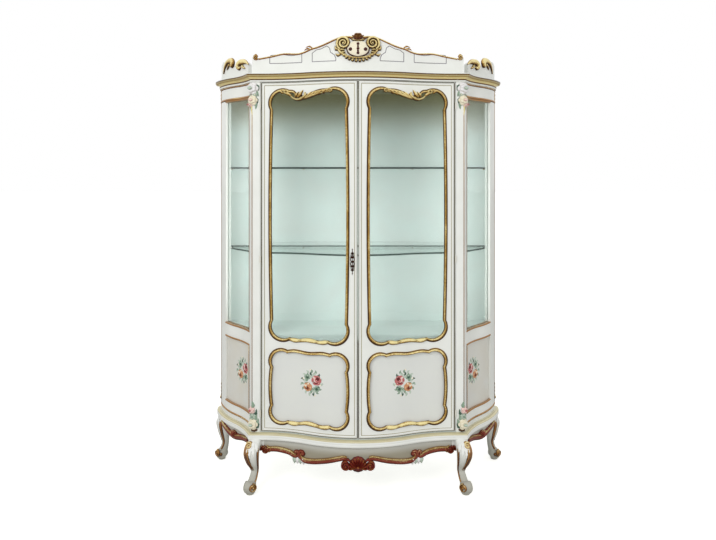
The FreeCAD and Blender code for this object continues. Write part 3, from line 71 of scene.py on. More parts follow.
# Plan of the cabinet, in millimetres: the serpentine front, then the curved side
POST_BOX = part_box("right_front_post")
POST_INNER = POST_BOX[0].x / MM
POST_Y = POST_BOX[0].y / MM
FACE_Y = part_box("crest_board")[0].y / MM
BOW = POST_Y - FACE_Y
FRONT_RADIUS = (POST_INNER**2 + BOW**2) / (4 * BOW)
POST_FACE = 40.0
CORNER_X = POST_INNER + POST_FACE
SIDE_SPLAY = 214.0
SIDE_DEPTH = 312.0
SIDE_SWELL = 10.0
REAR_RADIUS = 140.0

# Levels of the solids, in millimetres
APRON_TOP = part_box("front_apron")[1].z / MM
BOARD_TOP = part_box("bottom_board")[1].z / MM
BASE_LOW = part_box("front_base_moulding")[0].z / MM
DOOR_LOW, DOOR_HIGH = (corner.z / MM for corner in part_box("right_door_hinge_stile"))
TOP_BOARD_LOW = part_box("top_board")[0].z / MM
CORNICE_HEIGHT = 39.0
CREST_HEIGHT = 186.0
CREST_TOP = TOP_BOARD_LOW + CORNICE_HEIGHT + CREST_HEIGHT
KNEE_DEPTH = 57.0
KNEE_LOW = APRON_TOP - KNEE_DEPTH

# Door leaf and its two shaped openings: levels, corner lobe, lower and upper dip, and the upper dip's shift
DOOR_INNER = 1.5
DOOR_OUTER = 487.5
DOOR_CENTRE = (DOOR_INNER + DOOR_OUTER) / 2
STILE_WIDTH = 52.0
LOW_RAIL = 46.0
PANEL_HEIGHT = 359.0
MIDDLE_RAIL = 56.0
TOP_RAIL = 44.0
OPENING_HALF = DOOR_CENTRE - DOOR_INNER - STILE_WIDTH
PANEL_LOW = DOOR_LOW + LOW_RAIL
PANEL_HIGH = PANEL_LOW + PANEL_HEIGHT
GLASS_LOW = PANEL_HIGH + MIDDLE_RAIL
GLASS_HIGH = DOOR_HIGH - TOP_RAIL
GLASS_DIP = 40.0
GLASS_DIP_SHIFT = 34.0
GLASS_OPENING = (GLASS_LOW, GLASS_HIGH, 94.0, 9.0, GLASS_DIP, GLASS_DIP_SHIFT)
PANEL_OPENING = (PANEL_LOW, PANEL_HIGH, 84.0, 14.0, 9.0, 0.0)
NOTCH = 8.0
LOCK_X = 27.5
LOCK_LEVEL = 1145.0

# Shaped edges: share of the half length and drop below the level they hang from
APRON_END = CORNER_X - 60.0
APRON_SWEEP = (
    (0.0, 86.0),
    (0.16, 84.0),
    (0.319, 102.0),
    (0.481, 115.0),
    (0.604, 98.0),
    (0.734, 84.0),
    (0.851, 75.0),
    (0.936, 76.0),
    (1.0, 57.0),
)
CREST_END = CORNER_X - 1.0
CREST_SWEEP = (
    (0.0, 20.0),
    (0.117, 17.0),
    (0.189, 25.0),
    (0.285, 46.0),
    (0.361, 61.0),
    (0.439, 71.0),
    (0.505, 84.0),
    (0.575, 90.0),
    (0.701, 87.0),
    (0.832, 100.0),
    (0.938, 110.0),
)

# Lined fields of the crest: place across and drop of their upper edges
FIELD_LOW = CREST_TOP - 134.0
CREST_FIELDS = (
    ((278.0, 92.0), (290.0, 94.0), (330.0, 98.0), (380.0, 90.0), (436.0, 94.0), (441.0, 104.0)),
    (
        (108.0, 122.0),
        (116.0, 104.0),
        (134.0, 92.0),
        (139.0, 70.0),
        (153.0, 60.0),
        (180.0, 73.0),
        (206.0, 78.0),
        (225.0, 92.0),
    ),
)

# Legs: share of the apron's height, outward shift, half length outwards and half width
LEG_SECTIONS = (
    (1.0, 14.0, 27.0, 31.0),
    (0.916, 30.0, 30.0, 33.0),
    (0.809, 54.0, 35.0, 34.0),
    (0.695, 60.0, 35.0, 33.0),
    (0.527, 48.0, 28.0, 26.0),
    (0.374, 30.0, 20.0, 18.0),
    (0.26, 46.0, 22.0, 20.0),
    (0.16, 72.0, 27.0, 22.0),
)
FRONT_LEG = (Vector((CORNER_X - 25.0, POST_Y + 22.0)), Vector((0.3, -0.95)).normalized(), 1.0)
LEG_GIRTH = 30.0
FOOT_SHIFT = 84.0
FOOT_RADIUS = 29.0
FOOT_HALF_WIDTH = 22.0
FOOT_LEVEL = 31.0
PAD_RADIUS = 19.0
EYE_SET_OUT = 27.0

# How far carved work is let into its ground
SINK = 1.6
# Half the width of the painted brown shadow line inside each door bead
SHADOW_LINE_HALF = 1.3


def linear(code):
    """A hex sRGB colour as linear red, green and blue with full alpha."""
    shares = [int(code[i : i + 2], 16) / 255 for i in (1, 3, 5)]
    return tuple(c / 12.92 if c <= 0.04045 else ((c + 0.055) / 1.055) ** 2.4 for c in shares) + (1.0,)


def colour(name, description, code):
    """A colour that a user may change."""
    return FloatVectorProperty(
        name=name, description=description, subtype="COLOR", size=4, min=0.0, max=1.0, default=linear(code)
    )


def length(name, description, millimetres):
    """A size that a user may change."""
    return FloatProperty(name=name, description=description, unit="LENGTH", default=millimetres * MM)


class CabinetColours(PropertyGroup):
    """Colours of the cabinet's finishes."""

    ivory: colour("Ivory", "Lacquer of the frame", "#F4F5F1")
    ivory_shade: colour("Ivory shade", "Cloudier patches of the lacquer", "#E5E7E0")
    panel: colour("Door panels", "Lacquer of the two door panels", "#DFE1DE")
    side_panel: colour("Side panels", "Lacquer of the two side panels", "#D8D2C2")
    mint: colour("Inside", "Paint of the inside", "#E2F0ED")
    # Painted shade: the inside paint darkens to this colour under the top
    shade: colour("Inside shade", "Darkened paint under the top", "#8F8862")
    gold: colour("Gold leaf", "Toned gold leaf", "#B68C40")
    # Also the painted highlight of the gilding on faces that look up
    gold_light: colour("Pale gold", "Burnished gold leaf", "#F6E6A6")
    umber: colour("Umber", "Toned hollows of the gilding", "#4A2E10")
    olive: colour("Olive gold", "Dull gilding of the base and the cornice", "#BDB081")
    cream_gold: colour("Cream gold", "Faded gilding along the base", "#DAD2AE")
    ochre: colour("Worn gold", "Gold leaf worn to its ground", "#A5743A")
    # Painted shadow: the line inside each door bead and the band at the foot of the base; also the cloudy
    # tone of the crest's lining
    toning: colour("Toning", "Brown glaze left in the corners of the frame", "#6E6850")
    bole: colour("Red bole", "Red ground that shows on rubbed mouldings", "#7F301B")
    bole_dark: colour("Dark bole", "Hollows of the red mouldings", "#43120C")
    crimson: colour("Crimson", "Lacquer of the apron's shell", "#7C2418")
    line: colour("Grey line", "Lining of the crest's fields", "#8A879C")
    brass: colour("Brass", "Pins, lock and bolts", "#B8924A")
    bronze: colour("Dark bronze", "Lock plate and key", "#3A2D1E")
    blush: colour("Blush", "Pale petals of the painted roses", "#F2D2CA")
    apricot: colour("Apricot", "Petals of the smaller painted rose", "#D39468")
    pink: colour("Rose pink", "Outer petals of the roses", "#C06B69")
    red: colour("Rose red", "Hearts of the roses", "#641A1E")
    russet: colour("Russet", "Hearts of the smaller roses", "#74321B")
    lilac: colour("Lilac", "Petals of the carved flowers", "#EFEDED")
    cream: colour("Cream", "Petals and the cartouche's field", "#F3EBD2")
    leaf: colour("Leaf green", "Leaves", "#8AA28C")
    leaf_dark: colour("Dark leaf", "Shaded leaves", "#3F5A4A")
    leaf_pale: colour("Pale leaf", "Washed leaves of the sprays", "#BCCBBB")
    glass: colour("Glass", "Tint of the panes", "#F6F9F8")
    glass_edge: colour("Glass edge", "Edges of the shelves", "#2E3F39")
    # Painted shade: the legs darken to this colour towards the feet
    leg_shade: colour("Leg shade", "Grime that gathers towards the feet", "#B3B1A4")
    # Painted shadow: the aprons darken to this colour under the base moulding
    apron_shade: colour("Apron shade", "Brown glaze on the aprons", "#9C9684")
    # Painted shadow: darkens the joints round the doors
    glaze: colour("Dark glaze", "Dirt in the joints round the doors", "#3A332A")
    floor: colour("Floor", "Floor under the cabinet", "#D9D9D6")


class CabinetSizes(PropertyGroup):
    """Sizes of the cabinet's carved and painted work."""

    moulding_height: length("Door moulding", "Height of the gilded mouldings", 9.0)
    door_bead: length("Door bead", "Half width of the bead round each door", 5.2)
    door_bead_height: length("Door bead height", "Height of the bead round each door", 4.0)
    crest_roll: length("Crest edge", "Half width of the roll along the crest", 4.2)
    apron_roll: length("Apron edge", "Half width of the roll along the aprons", 14.0)
    gilt_line: length("Gilt line", "Half width of the thin gilded lines", 2.2)
    spray: length("Rose spray", "Height of the roses painted on a door", 142.0)
    side_spray: length("Side spray", "Height of the roses painted on a side", 150.0)


def arc_step(heading, turned):
    """The way from one heading to another along an arc of unit radius."""
    return Vector((math.sin(turned) - math.sin(heading), math.cos(heading) - math.cos(turned)))


def side_line():
    """The runs of the right side's line in plan: length, start, heading and bend of each."""
    chord = math.hypot(SIDE_SPLAY, SIDE_DEPTH)
    radius = (chord / 4) ** 2 / (2 * SIDE_SWELL) + SIDE_SWELL / 2
    turn = math.asin(chord / 4 / radius)
    heading = math.atan2(SIDE_DEPTH, SIDE_SPLAY) + turn
    rear = math.pi / 2 - heading
    spot = Vector((CORNER_X, POST_Y))
    runs = []
    for bow, angle in ((radius, -turn * 2), (radius, turn * 2), (REAR_RADIUS, rear)):
        reach = bow * abs(angle)
        bend = angle / reach
        runs.append((reach, spot, heading, bend))
        spot = spot + arc_step(heading, heading + angle) / bend
        heading += angle
    return runs


SIDE_RUNS = side_line()
SIDE_LENGTH = sum(run[0] for run in SIDE_RUNS)


def front(x, z, out):
    """A point over the front, from millimetres across, up and outwards."""
    reach = abs(x)
    if reach > POST_INNER:
        return Vector((x, POST_Y - out, z)) * MM
    if reach <= POST_INNER / 2:
        hub = Vector((0.0, FACE_Y + FRONT_RADIUS))
        y = hub.y - math.sqrt(FRONT_RADIUS**2 - x**2)
        outward = (Vector((x, y)) - hub) / FRONT_RADIUS
    else:
        hub = Vector((math.copysign(POST_INNER, x), POST_Y - FRONT_RADIUS))
        y = hub.y + math.sqrt(FRONT_RADIUS**2 - (POST_INNER - reach) ** 2)
        outward = (hub - Vector((x, y))) / FRONT_RADIUS
    return Vector((x + outward.x * out, y + outward.y * out, z)) * MM


def on_front(hand, shift=0.0, lift=0.0):
    """The front seen as one hand of the cabinet, with the sheet moved across and up."""
    return lambda x, z, out: front(hand * (x + shift), z + lift, out)


def in_metres(hand, spot, z):
    """A point of one hand of the cabinet, from a place in plan and a level in millimetres."""
    return Vector((hand * spot.x, spot.y, z)) * MM


def side_place(along):
    """A point on the right side's line and the way outwards there."""
    for run in SIDE_RUNS:
        if along <= run[0] or run is SIDE_RUNS[-1]:
            break
        along -= run[0]
    _, spot, heading, bend = run
    turned = heading + bend * along
    return spot + arc_step(heading, turned) / bend, Vector((math.sin(turned), -math.cos(turned)))


def on_side(hand):
    """One side of the cabinet, from millimetres along it from the front, up and outwards."""

    def place(along, z, out):
        spot, outward = side_place(along)
        return in_metres(hand, spot + outward * out, z)

    return place


# Distance either side of a post's corner over which the way outwards turns
CORNER_EASE = 16.0


def on_corner(hand):
    """The outer corner of a front post, from millimetres round it, up and outwards."""
    ahead = Vector((0.0, -1.0))

    def place(around, z, out):
        spot, outward = side_place(max(around, 0.0))
        if around < 0.0:
            spot, outward = Vector((CORNER_X + around, POST_Y)), ahead
        flank = side_place(0.0)[1]
        share = min(max((around + CORNER_EASE) / (2 * CORNER_EASE), 0.0), 1.0)
        way = (ahead * (1 - share) + flank * share).normalized() if abs(around) < CORNER_EASE else outward
        return in_metres(hand, spot + way * out, z)

    return place


def leg_section(z):
    """The shift, half length and half width of a leg at one level, smoothed between its sections."""
    share = z / APRON_TOP
    spots = [Vector((s, *rest)) for s, *rest in LEG_SECTIONS]
    for i in range(len(spots) - 1):
        if spots[i][0] >= share >= spots[i + 1][0]:
            break
    before, after = spots[max(i - 1, 0)], spots[min(i + 2, len(spots) - 1)]
    here, there = spots[i], spots[i + 1]
    t = (share - here[0]) / (there[0] - here[0])
    rise = there[0] - here[0]
    slope_here = (there - before) / (there[0] - before[0]) * rise
    slope_there = (after - here) / (after[0] - here[0]) * rise
    level = here * (2 * t**3 - 3 * t**2 + 1) + slope_here * (t**3 - 2 * t**2 + t)
    level += there * (3 * t**2 - 2 * t**3) + slope_there * (t**3 - t**2)
    return level[1], level[2], level[3]


def on_leg(hand, leg):
    """A leg's surface, from millimetres round it from its outermost line, up and outwards."""
    foot_from, outward, reach = leg
    across = Vector((-outward.y, outward.x))

    def place(around, z, out):
        shift, half_length, half_width = leg_section(z)
        turn = around / LEG_GIRTH
        square = 1.0 - 0.05 * math.cos(4 * turn)
        spot = foot_from + outward * (shift * reach + (half_length * square + out) * math.cos(turn))
        spot = spot + across * ((half_width * square + out) * math.sin(turn))
        return in_metres(hand, spot, z)

    return place


def foot_axes(leg):
    """The hub of a foot's scroll in plan, the way outwards there and the way across."""
    foot_from, outward, reach = leg
    return foot_from + outward * FOOT_SHIFT * reach, outward, Vector((-outward.y, outward.x))


def on_foot(hand, leg, flank):
    """The end of a foot's scroll, from millimetres outwards from its hub, up and away from the end."""
    hub, outward, across = foot_axes(leg)

    def place(x, z, out):
        spot = hub + outward * x + across * flank * (FOOT_HALF_WIDTH + out)
        return in_metres(hand, spot, FOOT_LEVEL + z)

    return place


def on_eye(hand, leg):
    """A disc on the inner front of a foot's scroll, from millimetres across, up and outwards."""
    hub, outward, across = foot_axes(leg)
    facing = (outward * 0.62 - across * 0.78).normalized()
    level = Vector((-facing.y, facing.x))

    def place(x, z, out):
        spot = hub + facing * (EYE_SET_OUT + out) + level * x
        return in_metres(hand, spot, FOOT_LEVEL + z)

    return place


def through(points):
    """A smooth flat path through some points, as a function of the share of the way."""
    spots = [Vector(p) for p in points]
    spots = [2 * spots[0] - spots[1]] + spots + [2 * spots[-1] - spots[-2]]
    runs = len(points) - 1

    def path(share):
        at = min(max(share, 0.0), 1.0) * runs
        i = min(int(at), runs - 1)
        t = at - i
        a, b, c, d = spots[i : i + 4]
        cubic = (3 * b - a - 3 * c + d) * (t**3 / 2)
        return b + (c - a) * (t / 2) + (2 * a - 5 * b + 4 * c - d) * (t * t / 2) + cubic

    return path


def volute(x, z, radius, start, turns, core=0.16):
    """A spiral path from its rim at an angle inwards, turning left for positive turns."""

    def path(share):
        angle = math.radians(start) + math.tau * turns * share
        reach = radius * (1 - (1 - core) * share)
        return Vector((x + reach * math.cos(angle), z + reach * math.sin(angle)))

    return path


def round_path(first, middle, last):
    """A circular path through three flat points."""
    a, b, c = Vector(first), Vector(middle), Vector(last)
    cross = 2 * ((b.x - a.x) * (c.y - a.y) - (b.y - a.y) * (c.x - a.x))
    if abs(cross) < 1e-6:
        return lambda share: a.lerp(c, share)
    ab, ac = b - a, c - a
    ab_square, ac_square = ab.length_squared, ac.length_squared
    hub = a + Vector((ac.y * ab_square - ab.y * ac_square, ab.x * ac_square - ac.x * ab_square)) / cross
    begin, end = ((p - hub) for p in (a, c))
    turn = math.atan2(begin.x * end.y - begin.y * end.x, begin.dot(end))
    mid = b - hub
    half = math.atan2(begin.x * mid.y - begin.y * mid.x, begin.dot(mid))
    if turn * half < 0:
        turn += math.copysign(math.tau, half)
    start = math.atan2(begin.y, begin.x)
    reach = begin.length

    def path(share):
        angle = start + turn * share
        return hub + Vector((math.cos(angle), math.sin(angle))) * reach

    return path


def taper(full, start=0.25, end=0.1, peak=0.4):
    """A width that swells from a share of itself to the full width and thins again."""

    def at(share):
        low, way = (start, share / peak) if share < peak else (end, (1 - share) / (1 - peak))
        return full * (low + (1 - low) * math.sin(way * math.pi / 2))

    return at


def beside(path, shift):
    """A path that runs to the left of another."""

    def at(share):
        before, after = (Vector(path(min(max(share + step, 0.0), 1.0))) for step in (-0.01, 0.01))
        ahead = (after - before).normalized()
        return Vector(path(share)) + Vector((-ahead.y, ahead.x)) * shift

    return at


def stretch(path, begin, end):
    """A path along part of another, between two shares of its way."""
    return lambda share: path(begin + (end - begin) * share)


def sized(value):
    """A width along a path, from a function, from what a taper takes or from one number for all of it."""
    if callable(value):
        return value
    return taper(*value) if isinstance(value, tuple) else lambda share: value


def lobed(full, lobes, depth=0.3):
    """The width of a leaf with round teeth along its edges."""
    shape = taper(full, 0.35, 0.06, 0.4)
    return lambda share: shape(share) * (1 - depth * abs(math.cos(lobes * math.pi * share)))


def opening_path(opening, inset):
    """The outline of a door opening drawn in all round, as eight paths in order round it."""
    low, high, lobe, dip_low, dip_high, dip_shift = opening
    a, lo, hi = OPENING_HALF - inset, low + inset, high - inset
    reach = lobe - inset
    corner = reach * 0.2
    end = a - reach
    middle = (low + high) / 2

    def level(edge, way, dip, shift, run):
        spots = [
            (-end, edge + way * NOTCH),
            (shift - (end + shift) * 0.62, edge + way * dip * 0.3),
            (shift, edge + way * dip),
            (shift + (end - shift) * 0.62, edge + way * dip * 0.3),
            (end, edge + way * NOTCH),
        ]
        return through(spots[::run])

    def side(x, way, run):
        spots = [(x + way * NOTCH, lo + reach), (x + way, middle), (x + way * NOTCH, hi - reach)]
        return round_path(*spots[::run])

    def lobe_path(x, way, edge, up, run):
        steps = ((NOTCH, reach), (corner, corner), (reach, NOTCH))
        return round_path(*[(x + way * across, edge + up * rise) for across, rise in steps[::run]])

    return [
        level(lo, 1, dip_low, 0.0, 1),
        lobe_path(a, -1, lo, 1, -1),
        side(a, -1, 1),
        lobe_path(a, -1, hi, -1, 1),
        level(hi, -1, dip_high, dip_shift, -1),
        lobe_path(-a, 1, hi, -1, -1),
        side(-a, 1, -1),
        lobe_path(-a, 1, lo, 1, 1),
    ]


# Cleaning of the carved meshes, in metres and as the angle past which an edge stays sharp
MERGE = 2e-6
DEGENERATE = 1e-7
SHARP = math.radians(50)
# Shares of the wear and painted light from how high a point stands, which wears the gilding and
# shades the hollows of oil colours, and from how far it looks up, which paints light from above
HEIGHT_WEAR_AND_SHADE = 0.72
UPWARD_LIGHT = 0.42
FINISHES = {}


class Carving:
    """Carved or painted work, drawn flat and laid over the cabinet, with its wear, its painted light and
    shade, and its colours.
    """

    def __init__(self):
        self.bm = bmesh.new()
        self.rub = self.bm.verts.layers.float.new("rub")
        self.paint = self.bm.verts.layers.float_color.new("paint")
        self.laid = self.bm.verts.layers.int.new("laid")
        self.tint = (1.0, 1.0, 1.0, 1.0)

    def sheet(self, across, up, place):
        """A grid whose points a function moves, given their shares of the way along both edges."""
        grid = bmesh.ops.create_grid(self.bm, x_segments=across, y_segments=up, size=1.0)["verts"]
        for vert in grid:
            spot, rub = place((vert.co.x + 1) / 2, (vert.co.y + 1) / 2)
            vert.co = spot
            vert[self.rub] = rub
            vert[self.paint] = self.tint

    def roll(self, path, width, height, stations=22, sides=8, base=0.0, groove=0.0, closed=False):
        """A carved roll along a path or through points, rounded over, with flat ends unless it closes."""
        path = path if callable(path) else through(path)
        width, height = sized(width), sized(height)
        last = stations if closed else stations - 2
        places = [Vector(path(i / last)) for i in range(last + 1)]

        def shape(along, around):
            i = round(along * stations)
            tip = not closed and i in (0, stations)
            i = i if closed else min(max(i - 1, 0), last)
            before = places[i - 1] if i else places[-2 if closed else 0]
            after = places[i + 1] if i < last else places[1 if closed else last]
            ahead = (after - before).normalized()
            turn = around * math.tau
            lift = math.sin(turn)
            share = i / last
            half, tall = (0.0, 0.0) if tip else (width(share), height(share))
            spot = places[i] + Vector((-ahead.y, ahead.x)) * half * math.cos(turn)
            rise = tall * (lift - groove * (1 - abs(math.cos(turn))) ** 2) if lift > 0 else SINK * lift
            rub = max(lift, 0.0) * (1.0 - 0.6 * groove * (lift > 0.95))
            return (spot.x, spot.y, base + (0.0 if tip else rise)), rub

        self.sheet(stations, sides, shape)

    def leaf(self, points, width, height, lobes=3, base=0.0, stations=18):
        """A carved leaf with toothed edges and a sunk rib."""
        self.roll(points, lobed(width, lobes), (height, 0.5, 0.3, 0.4), stations, 10, base, 0.45)

    def bead(self, x, z, radius, height, base=0.0):
        """A carved bead."""
        ball = bmesh.ops.create_uvsphere(self.bm, u_segments=12, v_segments=8, radius=1.0)["verts"]
        for vert in ball:
            vert[self.rub] = max(vert.co.z, 0.0)
            vert[self.paint] = self.tint
            vert.co = (x + radius * vert.co.x, z + radius * vert.co.y, base + height * vert.co.z)

    def petals(self, x, z, radius, count, height, base=0.0, turn=0.0, width=0.42):
        """A ring of petals round a point."""
        for i in range(count):
            angle = math.tau * (i + turn) / count
            way = Vector((math.cos(angle), math.sin(angle)))
            hub = Vector((x, z))
            points = (hub + way * radius * 0.1, hub + way * radius * 0.55, hub + way * radius)
            self.roll(points, (radius * width, 0.4, 0.45, 0.62), (height, 0.3, 0.5, 0.7), 8, 8, base, 0.35)

    def lay(self, surface=None):
        """Lays everything drawn since the last time over a surface, or leaves it where it is."""
        for vert in self.bm.verts:
            if surface and not vert[self.laid]:
                vert.co = surface(*vert.co)
            vert[self.laid] = 1

    def finish(self, name, look, body, slot, *nodes):
        """Makes the piece, which rides on a body, takes a finish and may stand for solids."""
        bmesh.ops.remove_doubles(self.bm, verts=self.bm.verts, dist=MERGE)
        bmesh.ops.dissolve_degenerate(self.bm, edges=self.bm.edges, dist=DEGENERATE)
        bmesh.ops.recalc_face_normals(self.bm, faces=self.bm.faces)
        self.bm.normal_update()
        # Wear on the high points, with painted light on the faces that look up
        for vert in self.bm.verts:
            rub = vert[self.rub] * HEIGHT_WEAR_AND_SHADE + vert.normal.z * UPWARD_LIGHT
            vert[self.rub] = min(max(rub, 0.0), 1.0)
        self.bm.verts.layers.int.remove(self.laid)
        mesh = bpy.data.meshes.new(name)
        self.bm.to_mesh(mesh)
        self.bm.free()
        mesh.polygons.foreach_set("use_smooth", [True] * len(mesh.polygons))
        mesh.set_sharp_from_angle(angle=SHARP)
        mesh.materials.append(FINISHES[look])
        piece = bpy.data.objects.new(name, mesh)
        bpy.context.scene.collection.objects.link(piece)
        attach(piece, body)
        if nodes:
            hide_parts(*nodes)


# Share of a pane that lets light straight through, and half the width of a band's soft edge in millimetres
CLEARNESS = 0.86
BAND_EDGE = 0.8
# Share of red, green and blue that oil colours keep in their hollows, as painted shade
HOLLOW_SHADE = (0.5, 0.46, 0.4, 1.0)
EASED = {"interpolation_type": "SMOOTHSTEP"}
IN_COLOUR = {"data_type": "RGBA"}


def plug(tree, node, inputs):
    """Sets or links a node's inputs, by name or in order."""
    for name, value in inputs.items() if isinstance(inputs, dict) else enumerate(inputs):
        if isinstance(value, bpy.types.NodeSocket):
            tree.links.new(value, node.inputs[name])
        else:
            node.inputs[name].default_value = value


def add(tree, kind, inputs=(), output=0, **settings):
    """Adds a node with its settings, values and links, and gives one of its outputs."""
    node = tree.nodes.new("ShaderNode" + kind)
    for name, value in settings.items():
        setattr(node, name, value)
    plug(tree, node, inputs)
    return node.outputs[output]


def start(name):
    """A new material with its node tree, its main shader and the place on the cabinet."""
    material = bpy.data.materials.new(name)
    material.use_nodes = True
    tree = material.node_tree
    return material, tree, tree.nodes["Principled BSDF"], add(tree, "TexCoord", output="Object")


def per(millimetres):
    """The scale of a pattern, from the real size of its features."""
    return 1 / (millimetres * MM)


def lacquer(paints, name, tone, shade, roughness, aged=None):
    """Brushed and rubbed lacquer on wood: cloudy over a hand's breadth, with brush lines and a soft shine,
    and where asked a painted shade that darkens it between two levels.
    """
    material, tree, shader, place = start(name)
    clouds = add(tree, "TexNoise", {"Vector": place, "Scale": per(110), "Detail": 3.0})
    cover = add(tree, "Mix", {0: clouds, 6: paints[tone], 7: paints[shade]}, 2, **IN_COLOUR)
    # Painted shade: the lacquer darkens towards a colour between two levels
    if aged:
        dark, low, high = aged
        level = add(tree, "SeparateXYZ", (place,), "Z")
        shade_share = add(tree, "MapRange", (level, low * MM, high * MM), **EASED)
        cover = add(tree, "Mix", {0: shade_share, 6: cover, 7: paints[dark]}, 2, **IN_COLOUR)
    # Brush lines are under a millimetre apart on the real piece, and are drawn at 3 mm so that they show
    drawn = add(tree, "Mapping", {"Vector": place, "Scale": (1.0, 1.0, 0.05)})
    brush = add(tree, "TexNoise", {"Vector": drawn, "Scale": per(3), "Detail": 2.0})
    smears = add(tree, "TexNoise", {"Vector": place, "Scale": per(14), "Detail": 5.0})
    dullness = (smears, 0.2, 0.8, roughness - 0.07, roughness + 0.1)
    looks = {
        "Base Color": cover,
        "Roughness": add(tree, "MapRange", dullness, **EASED),
        "Normal": add(tree, "Bump", {"Height": brush, "Strength": 0.08, "Distance": 0.4 * MM}),
        "IOR": 1.5,
        "Coat Weight": 0.15,
        "Coat Roughness": 0.12,
    }
    plug(tree, shader, looks)
    return material


def gilding(paints, name, high, light, hollow, metallic, rubbed, bright):
    """Toned leaf over a ground: dark in the hollows, gold on the rounds, and pale where it is rubbed and, as
    a painted highlight, where it faces up.
    """
    material, tree, shader, place = start(name)
    cover = add(tree, "Attribute", output="Fac", attribute_name="rub")
    # Laps of the leaf are 80 mm apart, and wear comes in flecks of about 5 mm
    wear = add(tree, "TexNoise", {"Vector": place, "Scale": per(5), "Detail": 4.0})
    laps = add(tree, "TexNoise", {"Vector": place, "Scale": per(80), "Detail": 2.0})
    for change in ((wear, 0.2, 0.8, -0.16, 0.16), (laps, 0.3, 0.7, -0.08, 0.08)):
        cover = add(tree, "Math", (cover, add(tree, "MapRange", change, **EASED)), operation="ADD")
    gilt = add(tree, "MapRange", (cover, *rubbed), **EASED)
    # Pale gold on the most rubbed tops, and as a painted highlight on faces that look up
    top = add(tree, "MapRange", (cover, *bright), **EASED)
    tone = add(tree, "Mix", {0: gilt, 6: paints[hollow], 7: paints[high]}, 2, **IN_COLOUR)
    looks = {
        "Base Color": add(tree, "Mix", {0: top, 6: tone, 7: paints[light]}, 2, **IN_COLOUR),
        "Metallic": metallic,
        "Roughness": add(tree, "MapRange", (gilt, 0.0, 1.0, 0.6, 0.36), **EASED),
        "Normal": add(tree, "Bump", {"Height": wear, "Strength": 0.18, "Distance": 0.5 * MM}),
    }
    plug(tree, shader, looks)
    return material


def banded(paints, name, bands):
    """Ivory lacquer with level bands of dull gold leaf, for mouldings and rails gilded along their beads, and
    bands of painted shade and highlight.
    """
    material, tree, shader, place = start(name)
    level = add(tree, "SeparateXYZ", (place,), "Z")
    wear = add(tree, "TexNoise", {"Vector": place, "Scale": per(6), "Detail": 4.0})
    clouds = add(tree, "TexNoise", {"Vector": place, "Scale": per(90), "Detail": 3.0})
    ground = add(tree, "Mix", {0: clouds, 6: paints["ivory"], 7: paints["ivory_shade"]}, 2, **IN_COLOUR)
    tone, gilt = ground, 0.0
    for middle, half, leaf in bands:
        away = add(tree, "Math", (level, middle * MM), operation="SUBTRACT")
        near = add(tree, "Math", (away,), operation="ABSOLUTE")
        edge = ((half + BAND_EDGE) * MM, (half - BAND_EDGE) * MM)
        inside = add(tree, "MapRange", (near, *edge), **EASED)
        tone = add(tree, "Mix", {0: inside, 6: tone, 7: paints[leaf]}, 2, **IN_COLOUR)
        gilt = add(tree, "Math", (gilt, inside), operation="MAXIMUM")
    worn = add(tree, "MapRange", (wear, 0.5, 0.9, 0.0, 0.3), **EASED)
    looks = {
        "Base Color": add(tree, "Mix", {0: worn, 6: tone, 7: ground}, 2, **IN_COLOUR),
        "Metallic": add(tree, "MapRange", (gilt, 0.0, 1.0, 0.0, 0.5), **EASED),
        "Roughness": 0.4,
        "Normal": add(tree, "Bump", {"Height": wear, "Strength": 0.12, "Distance": 0.4 * MM}),
    }
    plug(tree, shader, looks)
    return material


def painted(name):
    """Oil colours on carved or flat wood, taken from the piece, with a mottled brush, painted shade in the
    hollows, painted light where they face up, and a low shine.
    """
    material, tree, shader, place = start(name)
    paint = add(tree, "Attribute", output="Color", attribute_name="paint")
    rub = add(tree, "Attribute", output="Fac", attribute_name="rub")
    daub = add(tree, "TexNoise", {"Vector": place, "Scale": per(3), "Detail": 3.0})
    # Painted shade in the hollows and low points, lighter where the carving stands high or faces up
    shadow = {0: 1.0, 6: paint, 7: HOLLOW_SHADE}
    deep = add(tree, "Mix", shadow, 2, blend_type="MULTIPLY", **IN_COLOUR)
    lit = add(tree, "MapRange", (add(tree, "Math", (daub, rub), operation="ADD"), 0.3, 1.0), **EASED)
    looks = {
        "Base Color": add(tree, "Mix", {0: lit, 6: deep, 7: paint}, 2, **IN_COLOUR),
        "Roughness": 0.5,
        "Normal": add(tree, "Bump", {"Height": daub, "Strength": 0.15, "Distance": 0.4 * MM}),
        "IOR": 1.48,
    }
    plug(tree, shader, looks)
    return material


def metal(paints, name, tone, dark, roughness):
    """Old metal that hands have polished, with brown patina in small patches."""
    material, tree, shader, place = start(name)
    patina = add(tree, "TexNoise", {"Vector": place, "Scale": per(6), "Detail": 4.0})
    spread = add(tree, "MapRange", (patina, 0.3, 0.7), **EASED)
    dullness = (patina, 0.2, 0.8, roughness - 0.1, roughness + 0.15)
    looks = {
        "Base Color": add(tree, "Mix", {0: spread, 6: paints[tone], 7: paints[dark]}, 2, **IN_COLOUR),
        "Metallic": 1.0,
        "Roughness": add(tree, "MapRange", dullness, **EASED),
        "Normal": add(tree, "Bump", {"Height": patina, "Strength": 0.08, "Distance": 0.3 * MM}),
    }
    plug(tree, shader, looks)
    return material


